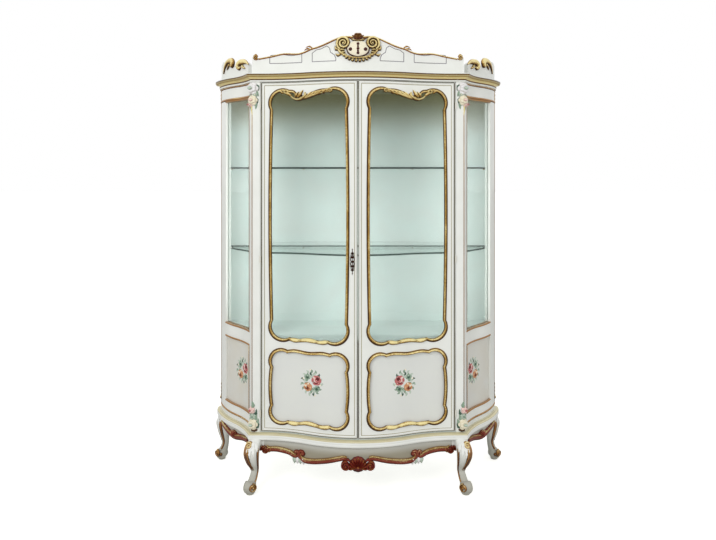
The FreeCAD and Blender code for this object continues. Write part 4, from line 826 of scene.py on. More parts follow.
def pane(paints, name, tint, edge=None):
    """Drawn sheet glass: clear, with a slow ripple and a faint shine, and dark green at a thick cut edge."""
    material, tree, shader, place = start(name)
    ripple = add(tree, "TexNoise", {"Vector": place, "Scale": per(120), "Detail": 1.0})
    looks = {
        "Base Color": paints[tint],
        "Roughness": 0.02,
        "IOR": 1.45,
        "Transmission Weight": 1.0,
        "Normal": add(tree, "Bump", {"Height": ripple, "Strength": 0.05, "Distance": 1.0 * MM}),
    }
    plug(tree, shader, looks)
    see = add(tree, "BsdfTransparent", {"Color": paints[tint]})
    clear = add(tree, "MixShader", (CLEARNESS, shader.outputs[0], see))
    if edge:
        rise = add(tree, "SeparateXYZ", (add(tree, "NewGeometry", output="Normal"),), "Z")
        flat = add(tree, "Math", (rise,), operation="ABSOLUTE")
        cut = add(tree, "Math", (flat, 0.5), operation="LESS_THAN")
        rim = add(tree, "BsdfPrincipled", {"Base Color": paints[edge], "Roughness": 0.15, "IOR": 1.45})
        clear = add(tree, "MixShader", (cut, clear, rim))
    tree.links.new(clear, tree.nodes["Material Output"].inputs["Surface"])
    return material


# Painted shade on the lacquer: its colour, and the levels it darkens between, from light to dark
# Painted shade under the top of the inside
INSIDE_SHADE = ("shade", 1740.0, 2020.0)
# Painted shadow on the aprons under the nose of the base moulding
APRON_SHADOW = ("apron_shade", APRON_TOP, APRON_TOP - 70.0)
# Painted shade that darkens the legs towards the feet
LEG_SHADE = ("leg_shade", 230.0, 30.0)
# Lacquers: material, tone, shade, roughness and any painted shade
LACQUERS = {
    "ivory_lacquer": ("ivory_lacquer", "ivory", "ivory_shade", 0.34),
    "panel_lacquer": ("door_panel_lacquer", "panel", "ivory_shade", 0.36),
    "side_panel_lacquer": ("side_panel_lacquer", "side_panel", "panel", 0.34),
    "mint_paint": ("mint_inside_paint", "mint", "panel", 0.5, INSIDE_SHADE),
    # Painted shadow line inside each door bead
    "toned_lacquer": ("toned_lacquer", "toning", "olive", 0.5),
    "grey_line": ("grey_lining", "line", "toning", 0.4),
    # The aprons' lacquer starts from the darker ivory, as part of their painted shadow
    "apron_lacquer": ("apron_lacquer", "ivory_shade", "panel", 0.36, APRON_SHADOW),
    "leg_lacquer": ("leg_lacquer", "ivory", "ivory_shade", 0.34, LEG_SHADE),
    # Painted shadow in the joints round the doors
    "dark_glaze": ("dark_glaze", "glaze", "toning", 0.5),
    "painted_brass": ("ivory_painted_brass", "ivory", "side_panel", 0.3),
}
# Gilding: material, colours of rounds, of rubbed tops with their painted highlight and of hollows, metallic,
# and the wear and painted light that bring out each
GILDINGS = {
    "gold_leaf": ("antique_gold_leaf", "gold", "gold_light", "umber", 0.45, (0.26, 0.7), (0.62, 0.94)),
    "brown_gilding": ("toned_gold_leaf", "gold", "gold_light", "bole", 0.45, (0.26, 0.56), (0.62, 0.9)),
    "bright_gilding": ("bright_gold_leaf", "gold", "gold_light", "umber", 0.4, (0.2, 0.42), (0.42, 0.72)),
    "worn_gilding": ("worn_gold_leaf", "ochre", "gold_light", "umber", 0.4, (0.2, 0.55), (0.72, 1.0)),
    "deep_gilding": ("deeply_toned_gold_leaf", "gold", "gold_light", "umber", 0.4, (0.36, 0.6), (0.46, 0.76)),
    "browned_gilding": ("browned_gold_leaf", "ochre", "gold_light", "bole_dark", 0.3, (0.3, 0.8), (0.8, 1.1)),
    "red_gilding": ("rubbed_red_bole", "bole", "gold_light", "bole_dark", 0.3, (0.15, 0.7), (0.8, 1.15)),
    "crimson_lacquer": ("crimson_lacquer", "crimson", "gold", "bole_dark", 0.2, (0.2, 0.7), (0.75, 1.15)),
}
METALS = {
    "brass": ("aged_brass", "brass", "umber", 0.34),
    "dark_bronze": ("dark_bronze", "bronze", "bole_dark", 0.42),
}
PANES = {"sheet_glass": ("sheet_glass", "glass"), "shelf_glass": ("shelf_glass", "glass", "glass_edge")}
# Banded mouldings: middle, half width and colour of each band, gilded or painted shade
RAIL_BEADS = (BOARD_TOP + 26.0, BOARD_TOP + 76.0, PANEL_HIGH + 14.0, PANEL_HIGH + 82.0, TOP_BOARD_LOW - 77.0)
CORNICE_BANDS = (
    (TOP_BOARD_LOW + 21.0, 13.0, "gold"),
    # Umber lines as painted shade and a pale stripe as a painted highlight on the cornice's curves
    (TOP_BOARD_LOW + 9.5, 2.6, "umber"),
    (TOP_BOARD_LOW + 18.0, 4.0, "gold_light"),
    (TOP_BOARD_LOW + 27.0, 2.5, "olive"),
    (TOP_BOARD_LOW + 33.5, 2.4, "umber"),
)
BASE_BANDS = (
    (BOARD_TOP - 4.5, 3.8, "cream_gold"),
    (BOARD_TOP - 9.0, 1.0, "olive"),
    # Painted shadow under the nose of the base
    (BASE_LOW + 2.0, 2.0, "toning"),
)
BANDED = {
    "cornice": ("gilded_cornice", CORNICE_BANDS),
    "base": ("gilded_base_moulding", BASE_BANDS),
    "side_rails": ("gilded_side_rails", [(level, 4.4, "ochre") for level in RAIL_BEADS]),
}
# Finishes of the solids, by their slots and, where they differ, by their own names
BY_SLOT = {
    "ivory_lacquer": "ivory_lacquer",
    "mint_interior": "mint_paint",
    "painted_panel": "panel_lacquer",
    "gold_leaf": "gold_leaf",
    "red_bole": "red_gilding",
    "painted_carving": "oil_colours",
    "clear_glass": "sheet_glass",
    "brass": "brass",
    "ivory_brass": "painted_brass",
    "dark_bronze": "dark_bronze",
}
BY_NODE = {
    "front_cornice": "cornice",
    "side_cornices": "cornice",
    "front_base_moulding": "base",
    "side_base_mouldings": "base",
    "glass_shelves": "shelf_glass",
    "front_apron": "apron_lacquer",
    "door_head_rail": "mint_paint",
}
for hand_name in SIDE_NAMES.values():
    BY_NODE[f"{hand_name}_side_rails"] = "side_rails"
    BY_NODE[f"{hand_name}_side_panel"] = "side_panel_lacquer"
    BY_NODE[f"{hand_name}_side_apron"] = "apron_lacquer"


class CABINET_OT_finishes(Operator):
    """Makes the finishes and gives them to the solids"""

    bl_idname = "cabinet.finishes"
    bl_label = "Finishes"

    def execute(self, context):
        colours = context.scene.cabinet_colours
        paints = {name: tuple(getattr(colours, name)) for name in CabinetColours.__annotations__}
        kinds = ((lacquer, LACQUERS), (gilding, GILDINGS), (metal, METALS), (pane, PANES), (banded, BANDED))
        for kind, recipes in kinds:
            for look, recipe in recipes.items():
                FINISHES[look] = kind(paints, *recipe)
        FINISHES["oil_colours"] = painted("oil_colours")
        for part in frame["record"]["subparts"]:
            node = part["node"]
            mesh = frame["nodes"][node].data
            mesh.materials.clear()
            mesh.materials.append(FINISHES[BY_NODE.get(node, BY_SLOT[part["material_slot"]])])
        return {"FINISHED"}


def frame_moulding(carving, opening, profile):
    """A moulding round a door opening, from a closed profile of insets and heights."""
    steps = 14
    rings = []
    for inset, _ in profile:
        ring = []
        for path in opening_path(opening, inset):
            ring += [path(i / steps) for i in range(steps)]
        rings.append(ring)
    around = len(rings[0])
    across = len(profile)
    top = max(height for _, height in profile)

    def place(along, over):
        i = round(along * around) % around
        j = round(over * across) % across
        spot = rings[j][i]
        return (spot.x, spot.y, profile[j][1]), max(profile[j][1], 0.0) / top

    carving.sheet(around, across, place)


class CABINET_OT_door_mouldings(Operator):
    """Gilds the shaped mouldings round the glass and the panel of each door"""

    bl_idname = "cabinet.door_mouldings"
    bl_label = "Door mouldings"

    def execute(self, context):
        tall = context.scene.cabinet_sizes.moulding_height / MM
        profile = (
            (-13.5, -1.0),
            (-13.5, 0.15 * tall),
            (-11.8, 0.34 * tall),
            (-9.8, 0.26 * tall),
            (-7.6, 0.6 * tall),
            (-5.0, 0.9 * tall),
            (-1.6, tall),
            (0.6, 0.9 * tall),
            (2.0, 0.62 * tall),
            (3.0, 0.2 * tall),
            (3.4, -5.5),
            (0.4, -5.5),
            (0.4, -1.0),
        )
        for hand in HANDS:
            carving, flames = Carving(), Carving()
            for opening in (GLASS_OPENING, PANEL_OPENING):
                frame_moulding(carving, opening, profile)
                low, high, lobe = opening[:3]
                for x in (-OPENING_HALF + lobe, OPENING_HALF - lobe):
                    carving.bead(x, low + NOTCH - 2.0, 6.5, tall, 1.0)
                    carving.bead(x, high - NOTCH + 2.0, 6.5, tall, 1.0)
                for x in (-OPENING_HALF, OPENING_HALF):
                    inner = x - math.copysign(NOTCH - 2.0, x)
                    carving.bead(inner, low + lobe, 6.0, tall, 0.5)
                    carving.bead(inner, high - lobe, 6.0, tall, 0.5)
                foot = opening_path(opening, -4.0)[0]
                for begin, end in ((0.0, 0.36), (0.33, 0.7), (0.67, 1.0)):
                    strip = stretch(foot, begin, end)
                    flames.roll(strip, (11.0, 0.7, 0.5, 0.35), (tall + 2.5, 0.7, 0.6), 20, 10)
            carving.lay(on_front(hand, DOOR_CENTRE))
            flames.lay(on_front(hand, DOOR_CENTRE))
            self.rocaille(flames)
            flames.lay(on_front(hand, DOOR_CENTRE + GLASS_DIP_SHIFT, GLASS_HIGH - GLASS_DIP))
            door = f"{SIDE_NAMES[hand]}_door"
            flames.finish(f"{door}_rocaille", "bright_gilding", door, "gold_leaf")
            solids = f"{door}_gilt_mouldings"
            carving.finish(f"{door}_gilded_mouldings", "gold_leaf", door, "gold_leaf", solids)
        return {"FINISHED"}

    @staticmethod
    def rocaille(carving):
        """The spray of scrolls and flames along the top of the glass, drawn about the middle of its dip."""
        body = ((-140, 30), (-88, 22), (-46, 9), (-10, 0), (18, -2))
        carving.roll(body, (8.0, 0.3, 0.4, 0.6), (13.0, 0.4, 0.4))
        scroll = ((-16, 30), (-20, 16), (-8, 2), (16, -6), (42, 2), (58, 18))
        carving.roll(scroll, (8.5, 0.35, 0.3), (17.0, 0.5, 0.4), 30)
        for points, wide, tall in (
            (((14, 0), (6, 20), (-8, 42)), 10.5, 18.0),
            (((30, 2), (26, 18), (14, 34)), 9.0, 16.0),
            (((50, 10), (68, 24), (92, 28)), 9.5, 15.0),
            (((94, 26), (108, 38), (126, 38)), 8.5, 13.0),
        ):
            carving.leaf(points, wide, tall)
        for back, rise in ((32, 10), (52, 15), (72, 20), (92, 25), (112, 29)):
            flame = ((6 - back, rise - 12), (-4 - back, rise + 4), (-22 - back, rise + 26 - back * 0.1))
            carving.leaf(flame, 9.5, 16.0, 2)
        for curl in (volute(-142, 34, 13.0, -40, 1.3), volute(80, 33, 12.0, 220, -1.3)):
            carving.roll(curl, (5.0, 0.8, 0.5), (13.0, 0.8, 0.7))


# Height of the painted shadow strips on the wood, and half widths of the painted shadow at the left, right,
# low and high joints of a door
SHADOW_STRIP_RISE = 0.7
JOINT_HALVES = (1.6, 3.2, 1.4, 1.8)


class CABINET_OT_door_beads(Operator):
    """Runs an ivory bead round the face of each door, with a painted brown shadow line inside it and painted
    shadow in the joints
    """

    bl_idname = "cabinet.door_beads"
    bl_label = "Door beads"

    def execute(self, context):
        sizes = context.scene.cabinet_sizes
        half, tall = sizes.door_bead / MM, sizes.door_bead_height / MM
        left, right = DOOR_INNER + half + 4.0, DOOR_OUTER - half - 9.0
        low, high = DOOR_LOW + half + 4.0, DOOR_HIGH - half - 5.0
        inner = half + SHADOW_LINE_HALF
        bead = (left, right, low, high)
        shadow_box = (left + inner, right - inner, low + inner, high - inner)
        joints = (DOOR_INNER + 2.2, DOOR_OUTER - 5.4, DOOR_LOW + 2.2, DOOR_HIGH - 2.8)
        joint_ends = (DOOR_INNER + 3.0, DOOR_OUTER - 5.0, DOOR_LOW + 3.0, DOOR_HIGH - 3.0)
        for hand in HANDS:
            side = SIDE_NAMES[hand]
            for name, look, box, ends, halves, rise, sides in (
                ("edge_bead", "ivory_lacquer", bead, bead, (half,) * 4, tall, 8),
                ("toning", "toned_lacquer", shadow_box, shadow_box, (SHADOW_LINE_HALF,) * 4, SHADOW_STRIP_RISE, 6),
                ("dark_joints", "dark_glaze", joints, joint_ends, JOINT_HALVES, SHADOW_STRIP_RISE, 6),
            ):
                carving = Carving()
                for x, wide in zip(box[:2], halves[:2]):
                    carving.roll([(x, z) for z in ends[2:]], wide, rise, 6, sides)
                for z, wide in zip(box[2:], halves[2:]):
                    carving.roll([(x, z) for x in ends[:2]], wide, rise, 50, sides)
                carving.lay(on_front(hand))
                carving.finish(f"{side}_door_{name}", look, f"{side}_door", "ivory_lacquer")
        return {"FINISHED"}


def rose(carving, x, z, radius, base, tones, turn, heart_way):
    """A painted rose: a dark heart to one side, in folded petals that pale outwards."""
    outer, pale, heart = tones
    heart_x, heart_z = x + radius * heart_way[0], z + radius * heart_way[1]
    carving.tint = outer
    carving.bead(x, z, radius * 0.86, 0.4, base)
    carving.petals(x, z, radius, 6, 0.4, base + 0.1, turn, 0.52)
    carving.tint = pale
    carving.petals(x - radius * 0.1, z + radius * 0.1, radius * 0.84, 4, 0.4, base + 0.35, turn + 0.5, 0.26)
    carving.tint = outer
    carving.petals(x, z, radius * 0.62, 5, 0.4, base + 0.6, turn + 0.4, 0.5)
    carving.tint = pale
    carving.roll(volute(x, z, radius * 0.52, 100, 0.5, 0.6), (radius * 0.12,), 0.4, 10, 6, base + 0.85)
    carving.tint = heart
    carving.bead(heart_x, heart_z, radius * 0.37, 0.5, base + 0.8)
    carving.roll(volute(x, z, radius * 0.7, 190, 0.4, 0.7), (radius * 0.1,), 0.4, 10, 6, base + 0.85)


SPRAY_LEAVES = 45
# Middles of the sprays: across the door or along the side, up, and outwards to the panel's face
DOOR_SPRAY = (231.0, 541.0, -7.0)
SIDE_SPRAY = (142.0, 550.0, -9.0)


def rose_spray(carving, c, tall, base):
    """Two roses in a ring of leaves and buds, painted about a point."""
    size = tall / 2
    for i in range(SPRAY_LEAVES):
        turn = math.tau * i / SPRAY_LEAVES
        near, far = ((0.68, 0.95), (0.34, 0.6), (0.5, 0.78))[i % 3]
        way = Vector((0.84 * math.cos(turn), math.sin(turn))) * size
        bend = Vector((-way.y, way.x)) * (0.1 if i % 3 else -0.1)
        carving.tint = (c.leaf_pale, c.leaf_dark, c.leaf, c.leaf_pale, c.leaf)[i % 5]
        points = (way * near, way * (near + far) / 2 + bend, way * far)
        carving.roll(points, (size * 0.075, 0.3, 0.05), 0.35, 9, 6, base)
        if i % 4 == 0:
            carving.tint = (c.cream, c.leaf_pale)[i % 8 == 0]
            tip = way * (far - 0.04)
            carving.bead(tip.x, tip.y, size * 0.06, 0.4, base + 0.3)
    for x, z in ((-0.3, 0.36), (0.36, -0.4)):
        carving.tint = c.leaf
        carving.petals(size * x, size * z, size * 0.2, 5, 0.4, base + 0.2, x)
        carving.tint = c.leaf_dark
        carving.bead(size * x, size * z, size * 0.1, 0.4, base + 0.4)
    for x, z, reach, tones, turn, heart_way in (
        (0.34, 0.2, 0.35, (c.pink, c.blush, c.red), 0.0, (0.28, 0.34)),
        (-0.27, -0.3, 0.3, (c.apricot, c.cream, c.russet), 0.3, (-0.14, -0.26)),
    ):
        rose(carving, size * x, size * z, size * reach, base + 0.3, tones, turn, heart_way)


class CABINET_OT_rose_sprays(Operator):
    """Paints a spray of roses on each door panel and each side panel"""

    bl_idname = "cabinet.rose_sprays"
    bl_label = "Rose sprays"

    def execute(self, context):
        c, sizes = context.scene.cabinet_colours, context.scene.cabinet_sizes
        for hand in HANDS:
            side = SIDE_NAMES[hand]
            for name, body, tall, (across, up, base), surface in (
                ("door_roses", f"{side}_door", sizes.spray, DOOR_SPRAY, on_front(hand)),
                ("side_roses", "carcase", sizes.side_spray, SIDE_SPRAY, on_side(hand)),
            ):
                carving = Carving()
                rose_spray(carving, c, tall / MM, base)
                carving.lay(lambda x, z, out: surface(across - x, up + z, out))
                carving.finish(f"{side}_{name}", "oil_colours", body, "painted_panel")
        return {"FINISHED"}


# Leaves of the bunches on the posts: colour, half width, height and teeth of a kind, then the points of each
# leaf from the head or the foot; the dark leaves behind the flowers also paint the shadow between them
UPPER_LEAVES = (
    (
        ("leaf", 9.0, 7.0, 3),
        ((-6, -44), (-24, -54), (-34, -74)),
        ((8, -48), (26, -62), (30, -84)),
        ((-6, -104), (-20, -116), (-18, -138)),
        ((6, -108), (18, -126), (10, -148)),
    ),
    (
        ("leaf_dark", 8.0, 6.0, 3),
        ((10, -10), (30, -20), (36, -42)),
        ((-10, -12), (-30, -24), (-34, -46)),
        ((10, -66), (28, -84), (24, -108)),
        ((-8, -74), (-26, -90), (-26, -112)),
    ),
    (("gold_light", 6.0, 7.0, 3), ((0, -112), (3, -138), (-2, -166))),
)
LOWER_LEAVES = (
    (
        ("leaf", 9.5, 8.0, 3),
        ((0, 46), (-18, 66), (-22, 98)),
        ((4, 52), (20, 76), (18, 108)),
        ((4, 30), (26, 44), (30, 70)),
        ((-4, 36), (-26, 44), (-32, 66)),
        ((0, 112), (-6, 132), (2, 154)),
    ),
    (
        ("leaf_dark", 8.0, 6.5, 3),
        ((8, 20), (28, 26), (36, 46)),
        ((-8, 20), (-28, 24), (-36, 44)),
        ((6, 84), (22, 96), (24, 120)),
        ((-6, 82), (-20, 92), (-22, 114)),
    ),
    (("umber", 8.0, 9.0, 4), ((-28, 10), (-8, 7), (16, 12))),
)
# Flowers of the bunches: colour, place, radius, height, petals and colour of the heart
UPPER_BLOOMS = (
    ("lilac", 0, -33, 33.0, 27.0, 6, "leaf_pale"),
    ("cream", -2, -92, 27.0, 24.0, 6, "blush"),
    ("blush", 10, -114, 14.0, 27.0, 5, "pink"),
    ("leaf_pale", -16, -66, 12.0, 14.0, 5, "cream"),
)
LOWER_BLOOMS = (
    ("cream", -2, 37, 28.0, 25.0, 6, "leaf_pale"),
    ("leaf_pale", -4, 76, 16.0, 15.0, 5, "leaf"),
    ("blush", 3, 107, 19.0, 20.0, 5, "pink"),
)


class CABINET_OT_post_flowers(Operator):
    """Carves a bunch of flowers at the head and the foot of each front post"""

    bl_idname = "cabinet.post_flowers"
    bl_label = "Post flowers"

    def execute(self, context):
        c = context.scene.cabinet_colours
        carving = Carving()
        for hand in HANDS:
            self.bunch(carving, c, TOP_BOARD_LOW, UPPER_LEAVES, UPPER_BLOOMS)
            self.bunch(carving, c, BOARD_TOP, LOWER_LEAVES, LOWER_BLOOMS)
            carving.lay(on_corner(hand))
        carving.finish("post_flower_bunches", "oil_colours", "carcase", "painted_carving", "post_flowers")
        return {"FINISHED"}

    @staticmethod
    def bunch(carving, c, level, leaves, blooms):
        """Leaves, then open flowers with two rows of petals, drawn from a level."""
        for (tint, *shape), *kind in leaves:
            carving.tint = getattr(c, tint)
            for points in kind:
                carving.leaf([(x, level + z) for x, z in points], *shape)
        for tint, x, z, radius, tall, petals, heart in blooms:
            z += level
            carving.tint = getattr(c, tint)
            carving.petals(x, z, radius, petals, tall * 0.55, 1.0, 0.0, 0.46)
            carving.petals(x, z, radius * 0.66, petals, tall * 0.6, tall * 0.35, 0.5, 0.5)
            carving.tint = getattr(c, heart)
            carving.bead(x, z, radius * 0.24, tall * 0.3, tall * 0.75)


def mirrored_path(points):
    """Points of a shaped edge on both sides of the middle, from left to right."""
    return [(-x, z) for x, z in reversed(points)] + list(points[1:])


# Where a sprig stands on each half of the crest's edge
CREST_SPRIG = (240.0, CREST_TOP - 74.0)


class CABINET_OT_crest(Operator):
    """Gilds the edge of the crest and lines its fields"""

    bl_idname = "cabinet.crest"
    bl_label = "Crest"

    def execute(self, context):
        roll = context.scene.cabinet_sizes.crest_roll / MM
        edge = [(CREST_END * share, CREST_TOP - drop) for share, drop in CREST_SWEEP]
        carving = Carving()
        carving.roll(mirrored_path([(x, z - 1.5) for x, z in edge]), roll, roll + 2.0, 130, 10)
        carving.lay(on_front(1))
        for hand in HANDS:
            carving.roll(volute(15, 7, 12.0, 200, 1.4), (4.5, 0.9, 0.5), (9.0, 0.8, 0.8))
            carving.leaf(((4, 10), (14, 20), (28, 14)), 5.0, 8.0)
            carving.lay(on_front(hand, *edge[-1]))
            carving.leaf(((-20, 2), (-2, 16), (18, 12)), 5.0, 8.0)
            carving.leaf(((-6, 2), (10, 6), (26, -2)), 5.0, 7.0)
            carving.lay(on_front(hand, *CREST_SPRIG))
        carving.finish("crest_gilded_edge", "brown_gilding", "carcase", "gold_leaf")
        self.fields(context)
        return {"FINISHED"}

    @staticmethod
    def fields(context):
        """Two fields on each half of the crest, lined round."""
        half = context.scene.cabinet_sizes.gilt_line / MM * 0.8
        lining = Carving()
        for hand in HANDS:
            for top in CREST_FIELDS:
                spots = [(x, CREST_TOP - drop) for x, drop in top]
                outline = [(spots[0][0], FIELD_LOW)] + spots + [(spots[-1][0], FIELD_LOW)]
                for a, b in zip(outline, outline[1:] + outline[:1]):
                    lining.roll((a, b), half, 1.2, 8, 6)
            lining.lay(on_front(hand))
        lining.finish("crest_field_lines", "grey_line", "carcase", "ivory_lacquer")


# The cartouche: level of its middle, half sizes of its field and its rim, and the rim's points as shares
CARTOUCHE_LEVEL = CREST_TOP - 76.0
FIELD_HALVES = (52.0, 38.0)
FIELD_RISE = 11.0
RIM_HALVES = (56.0, 40.0)
RIM = ((-1, 0.1), (-0.8, -0.6), (0, -1), (0.8, -0.6), (1, 0.1))
# Dark beads on its field: place across and up from its middle, and radius
FIELD_BEADS = (
    (0, 22, 7.5),
    (0, 10, 6.0),
    (0, -1, 8.5),
    (0, -12, 6.0),
    (0, -22, 7.5),
    (-36, -4, 9.0),
    (36, -4, 9.0),
)


class CABINET_OT_cartouche(Operator):
    """Carves the cartouche in the middle of the crest"""

    bl_idname = "cabinet.cartouche"
    bl_label = "Cartouche"

    def execute(self, context):
        c = context.scene.cabinet_colours
        gold, field, leaf = Carving(), Carving(), Carving()
        field.tint = c.cream
        field.sheet(16, 12, self.dome)
        field.tint = c.bole_dark
        for x, z, radius in FIELD_BEADS:
            field.bead(x, z, radius, 4.0, 9.0)
        field.roll([(x * RIM_HALVES[0], z * RIM_HALVES[1]) for x, z in RIM], 3.0, 13.0, 30)
        field.lay(on_front(1, 0.0, CARTOUCHE_LEVEL))
        field.finish("crest_cartouche_field", "oil_colours", "carcase", "gold_leaf")
        for hand in HANDS:
            self.half(gold)
            gold.lay(on_front(hand, 0.0, CARTOUCHE_LEVEL))
            self.crown(leaf)
            leaf.lay(on_front(hand, 0.0, CARTOUCHE_LEVEL))
        leaf.finish("crest_cartouche_leaf", "browned_gilding", "carcase", "gold_leaf")
        gold.finish("crest_cartouche_carving", "deep_gilding", "carcase", "gold_leaf", "crest_cartouche")
        return {"FINISHED"}

    @staticmethod
    def dome(along, out):
        """A point of the domed oval field."""
        turn = along * math.tau
        reach = min(out / 0.9, 1.0)
        rise = FIELD_RISE * math.sqrt(max(1.0 - (reach * 0.8) ** 2, 0.0)) if out < 0.99 else -1.0
        wide, tall = FIELD_HALVES
        return (wide * reach * math.cos(turn), tall * reach * math.sin(turn), rise), 1.0

    @staticmethod
    def half(carving):
        """The right half of the carving: volute, arm, gadroons, leaves and the rim over the field."""
        curl = volute(70, 26, 33.0, -60, 2.1, 0.12)
        carving.roll(curl, (8.5, 0.9, 0.4, 0.2), (18.0, 0.8, 0.9, 0.5), 60, 10)
        carving.bead(70, 26, 8.0, 20.0)
        arm = ((94, 6), (90, -12), (68, -30), (36, -42), (0, -46))
        carving.roll(arm, (6.5, 1.0, 0.8), (16.0, 0.8, 0.9), 30, 12, 0.0, 0.3)
        for i in range(7):
            angle = math.radians(270 + 6.5 + 13.0 * i)
            x, z = 66 * math.cos(angle), 50 * math.sin(angle)
            way = Vector((math.cos(angle), math.sin(angle)))
            gadroon = ((x, z), (x + way.x * 11, z + way.y * 9), (x + way.x * 22, z + way.y * 17))
            carving.roll(gadroon, (7.6, 0.6, 0.6, 0.6), (15.0, 0.5, 0.5, 0.6), 10, 8)
        carving.leaf(((88, -6), (106, -2), (112, 16)), 9.0, 12.0)
        carving.leaf(((80, -24), (98, -32), (110, -22)), 8.0, 11.0)
        carving.roll(((32, 44), (14, 40), (0, 38)), (6.0, 0.5, 0.9), (14.0, 0.6, 0.9), 12)

    @staticmethod
    def crown(carving):
        """The right half of the leaf that curls over the top of the cartouche."""
        carving.leaf(((8, 42), (18, 58), (30, 65)), 7.0, 13.0)
        carving.leaf(((20, 42), (34, 50), (48, 52)), 5.0, 12.0)
        carving.leaf(((2, 34), (11, 56), (2, 76)), 12.0, 18.0, 4, 2.0)
        carving.roll(volute(8, 61, 13.0, 250, -1.4), (5.0, 0.9, 0.5), (20.0, 0.8, 0.8))


# Leaf scrolls on a side's crest: tail and head along the side, way they run, top level, drop of the tail
SIDE_SCROLLS = (
    (56.0, 164.0, 1, CREST_TOP - 107.0, 24.0),
    (334.0, 220.0, -1, CREST_TOP - 88.0, 60.0),
)


class CABINET_OT_side_crests(Operator):
    """Carves the gilded leaf scrolls on the crests of both sides"""

    bl_idname = "cabinet.side_crests"
    bl_label = "Side crests"

    def execute(self, context):
        carving = Carving()
        for hand in HANDS:
            for scroll in SIDE_SCROLLS:
                self.scroll(carving, *scroll)
            carving.lay(on_side(hand))
        carving.finish("side_crest_leaves", "bright_gilding", "carcase", "gold_leaf")
        return {"FINISHED"}

    @staticmethod
    def scroll(carving, tail, head, way, top, drop):
        """A leaf that rises from its tail and curls over at its head."""
        reach = abs(head - tail)
        arm = (
            (tail, top - drop),
            (tail + way * reach * 0.22, top - drop * 0.45),
            (tail + way * reach * 0.52, top - drop * 0.1),
            (head - way * 16, top - 2),
            (head + way * 3, top - 14),
            (head - way * 4, top - 31),
            (head - way * 18, top - 27),
        )
        carving.roll(arm, (16.0, 0.06, 0.35, 0.55), (20.0, 0.4, 0.6, 0.7), 44, 12, 0.0, 0.2)
        lobe = ((30, 14), (44, 30), (66, 34 + drop * 0.2))
        carving.leaf([(head - way * back, top - down) for back, down in lobe], 8.0, 13.0, 2)


# Eyes of the front apron's scrolls, from its top: place, radius and height
APRON_EYES = ((271, -73, 12.0, 15.0), (307, -69, 11.0, 14.0), (460, -68, 14.0, 9.0), (487, -60, 9.0, 8.0))
# Curls round two of them: place, radius, first angle, turns, half width and height
APRON_CURLS = ((460, -68, 18.0, 80, -1.6, 6.0, 15.0), (487, -60, 12.0, 110, 1.4, 4.4, 13.0))
# The side apron's edge: its ends along the side, its middle and its last low point
SIDE_APRON = (60.0, SIDE_LENGTH - 80.0)
SIDE_APRON_MIDDLE = 205.0
SIDE_APRON_REAR = 290.0


class CABINET_OT_aprons(Operator):
    """Carves the red and gold edges of the aprons, with their scrolls and leaves"""

    bl_idname = "cabinet.aprons"
    bl_label = "Aprons"

    def execute(self, context):
        c = context.scene.cabinet_colours
        roll = context.scene.cabinet_sizes.apron_roll / MM
        edge = [(APRON_END * share, roll * 0.7 - drop) for share, drop in APRON_SWEEP]
        near = [(58, -78), *edge[1:4], (268, -104), (288, -86), (286, -64), (266, -64)]
        far = [(306, -60), (293, -74), (308, -90), *edge[5:8], (444, -66), (462, -56)]
        carving, gilt, leaves = Carving(), Carving(), Carving()
        for hand in HANDS:
            for path, begin, end in ((through(near), 0.75, 0.45), (through(far), 0.45, 0.35)):
                carving.roll(path, (roll * 0.92, begin, end, 0.55), (13.0, 0.7, 0.7), 60, 12)
                over = beside(path, roll * 0.78)
                gilt.roll(over, (roll * 0.32, begin, end, 0.5), (15.0, 0.7, 0.7), 60, 10)
            for x, z, radius, tall in APRON_EYES:
                carving.bead(x, z, radius, tall)
            for x, z, radius, start_angle, turns, half, tall in APRON_CURLS:
                carving.roll(volute(x, z, radius, start_angle, turns), (half, 0.9, 0.5), tall, 40)
            for i, (x, lean) in enumerate(((276, -9), (286, -3), (296, 3), (306, 9))):
                leaves.tint = (c.lilac, c.leaf_pale)[i % 2]
                leaves.leaf(((x, -86), (x + lean * 0.6, -106), (x + lean, -127)), 15.0, 16.0, 1)
            gilt.lay(on_front(hand, 0.0, APRON_TOP))
            carving.lay(on_front(hand, 0.0, APRON_TOP))
            leaves.lay(on_front(hand, 0.0, APRON_TOP))
            self.side(carving, gilt, roll)
            carving.lay(on_side(hand))
            gilt.lay(on_side(hand))
        gilt.finish("apron_gilded_edges", "worn_gilding", "carcase", "gold_leaf")
        carving.finish("apron_red_edges", "red_gilding", "carcase", "red_bole")
        leaves.finish("apron_leaf_clusters", "oil_colours", "carcase", "painted_carving")
        return {"FINISHED"}

    @staticmethod
    def side(carving, gilt, roll):
        """The edge of a side apron, with leaves that meet in its middle."""
        low = KNEE_LOW + roll * 0.6
        begin, end = SIDE_APRON
        middle = SIDE_APRON_MIDDLE
        steps = ((begin, 2), (begin + 60, -6), (middle, -22), (SIDE_APRON_REAR, -8), (end, 4))
        spots = [(along, low + rise) for along, rise in steps]
        carving.roll(spots, roll, 12.0, 50, 12)
        gilt.roll(beside(through(spots), roll * 0.8), roll * 0.35, 13.0, 50, 10)
        for way in HANDS:
            for i in range(4):
                x = middle + way * (14 + 26 * i)
                z = low - 18 + 4 * i
                carving.leaf(((x, z - 6), (x + way * 12, z + 12), (x + way * 30, z + 20)), 9.0, 13.0)
        for i in range(5):
            angle = math.radians(50 + 20 * i)
            foot = Vector((middle, low - 22.0))
            way = Vector((math.cos(angle), math.sin(angle)))
            rib = (foot, foot + way * 16, foot + way * 34)
            carving.roll(rib, (7.0, 0.4, 0.6, 0.8), (17.0, 0.6, 0.7), 10, 8)


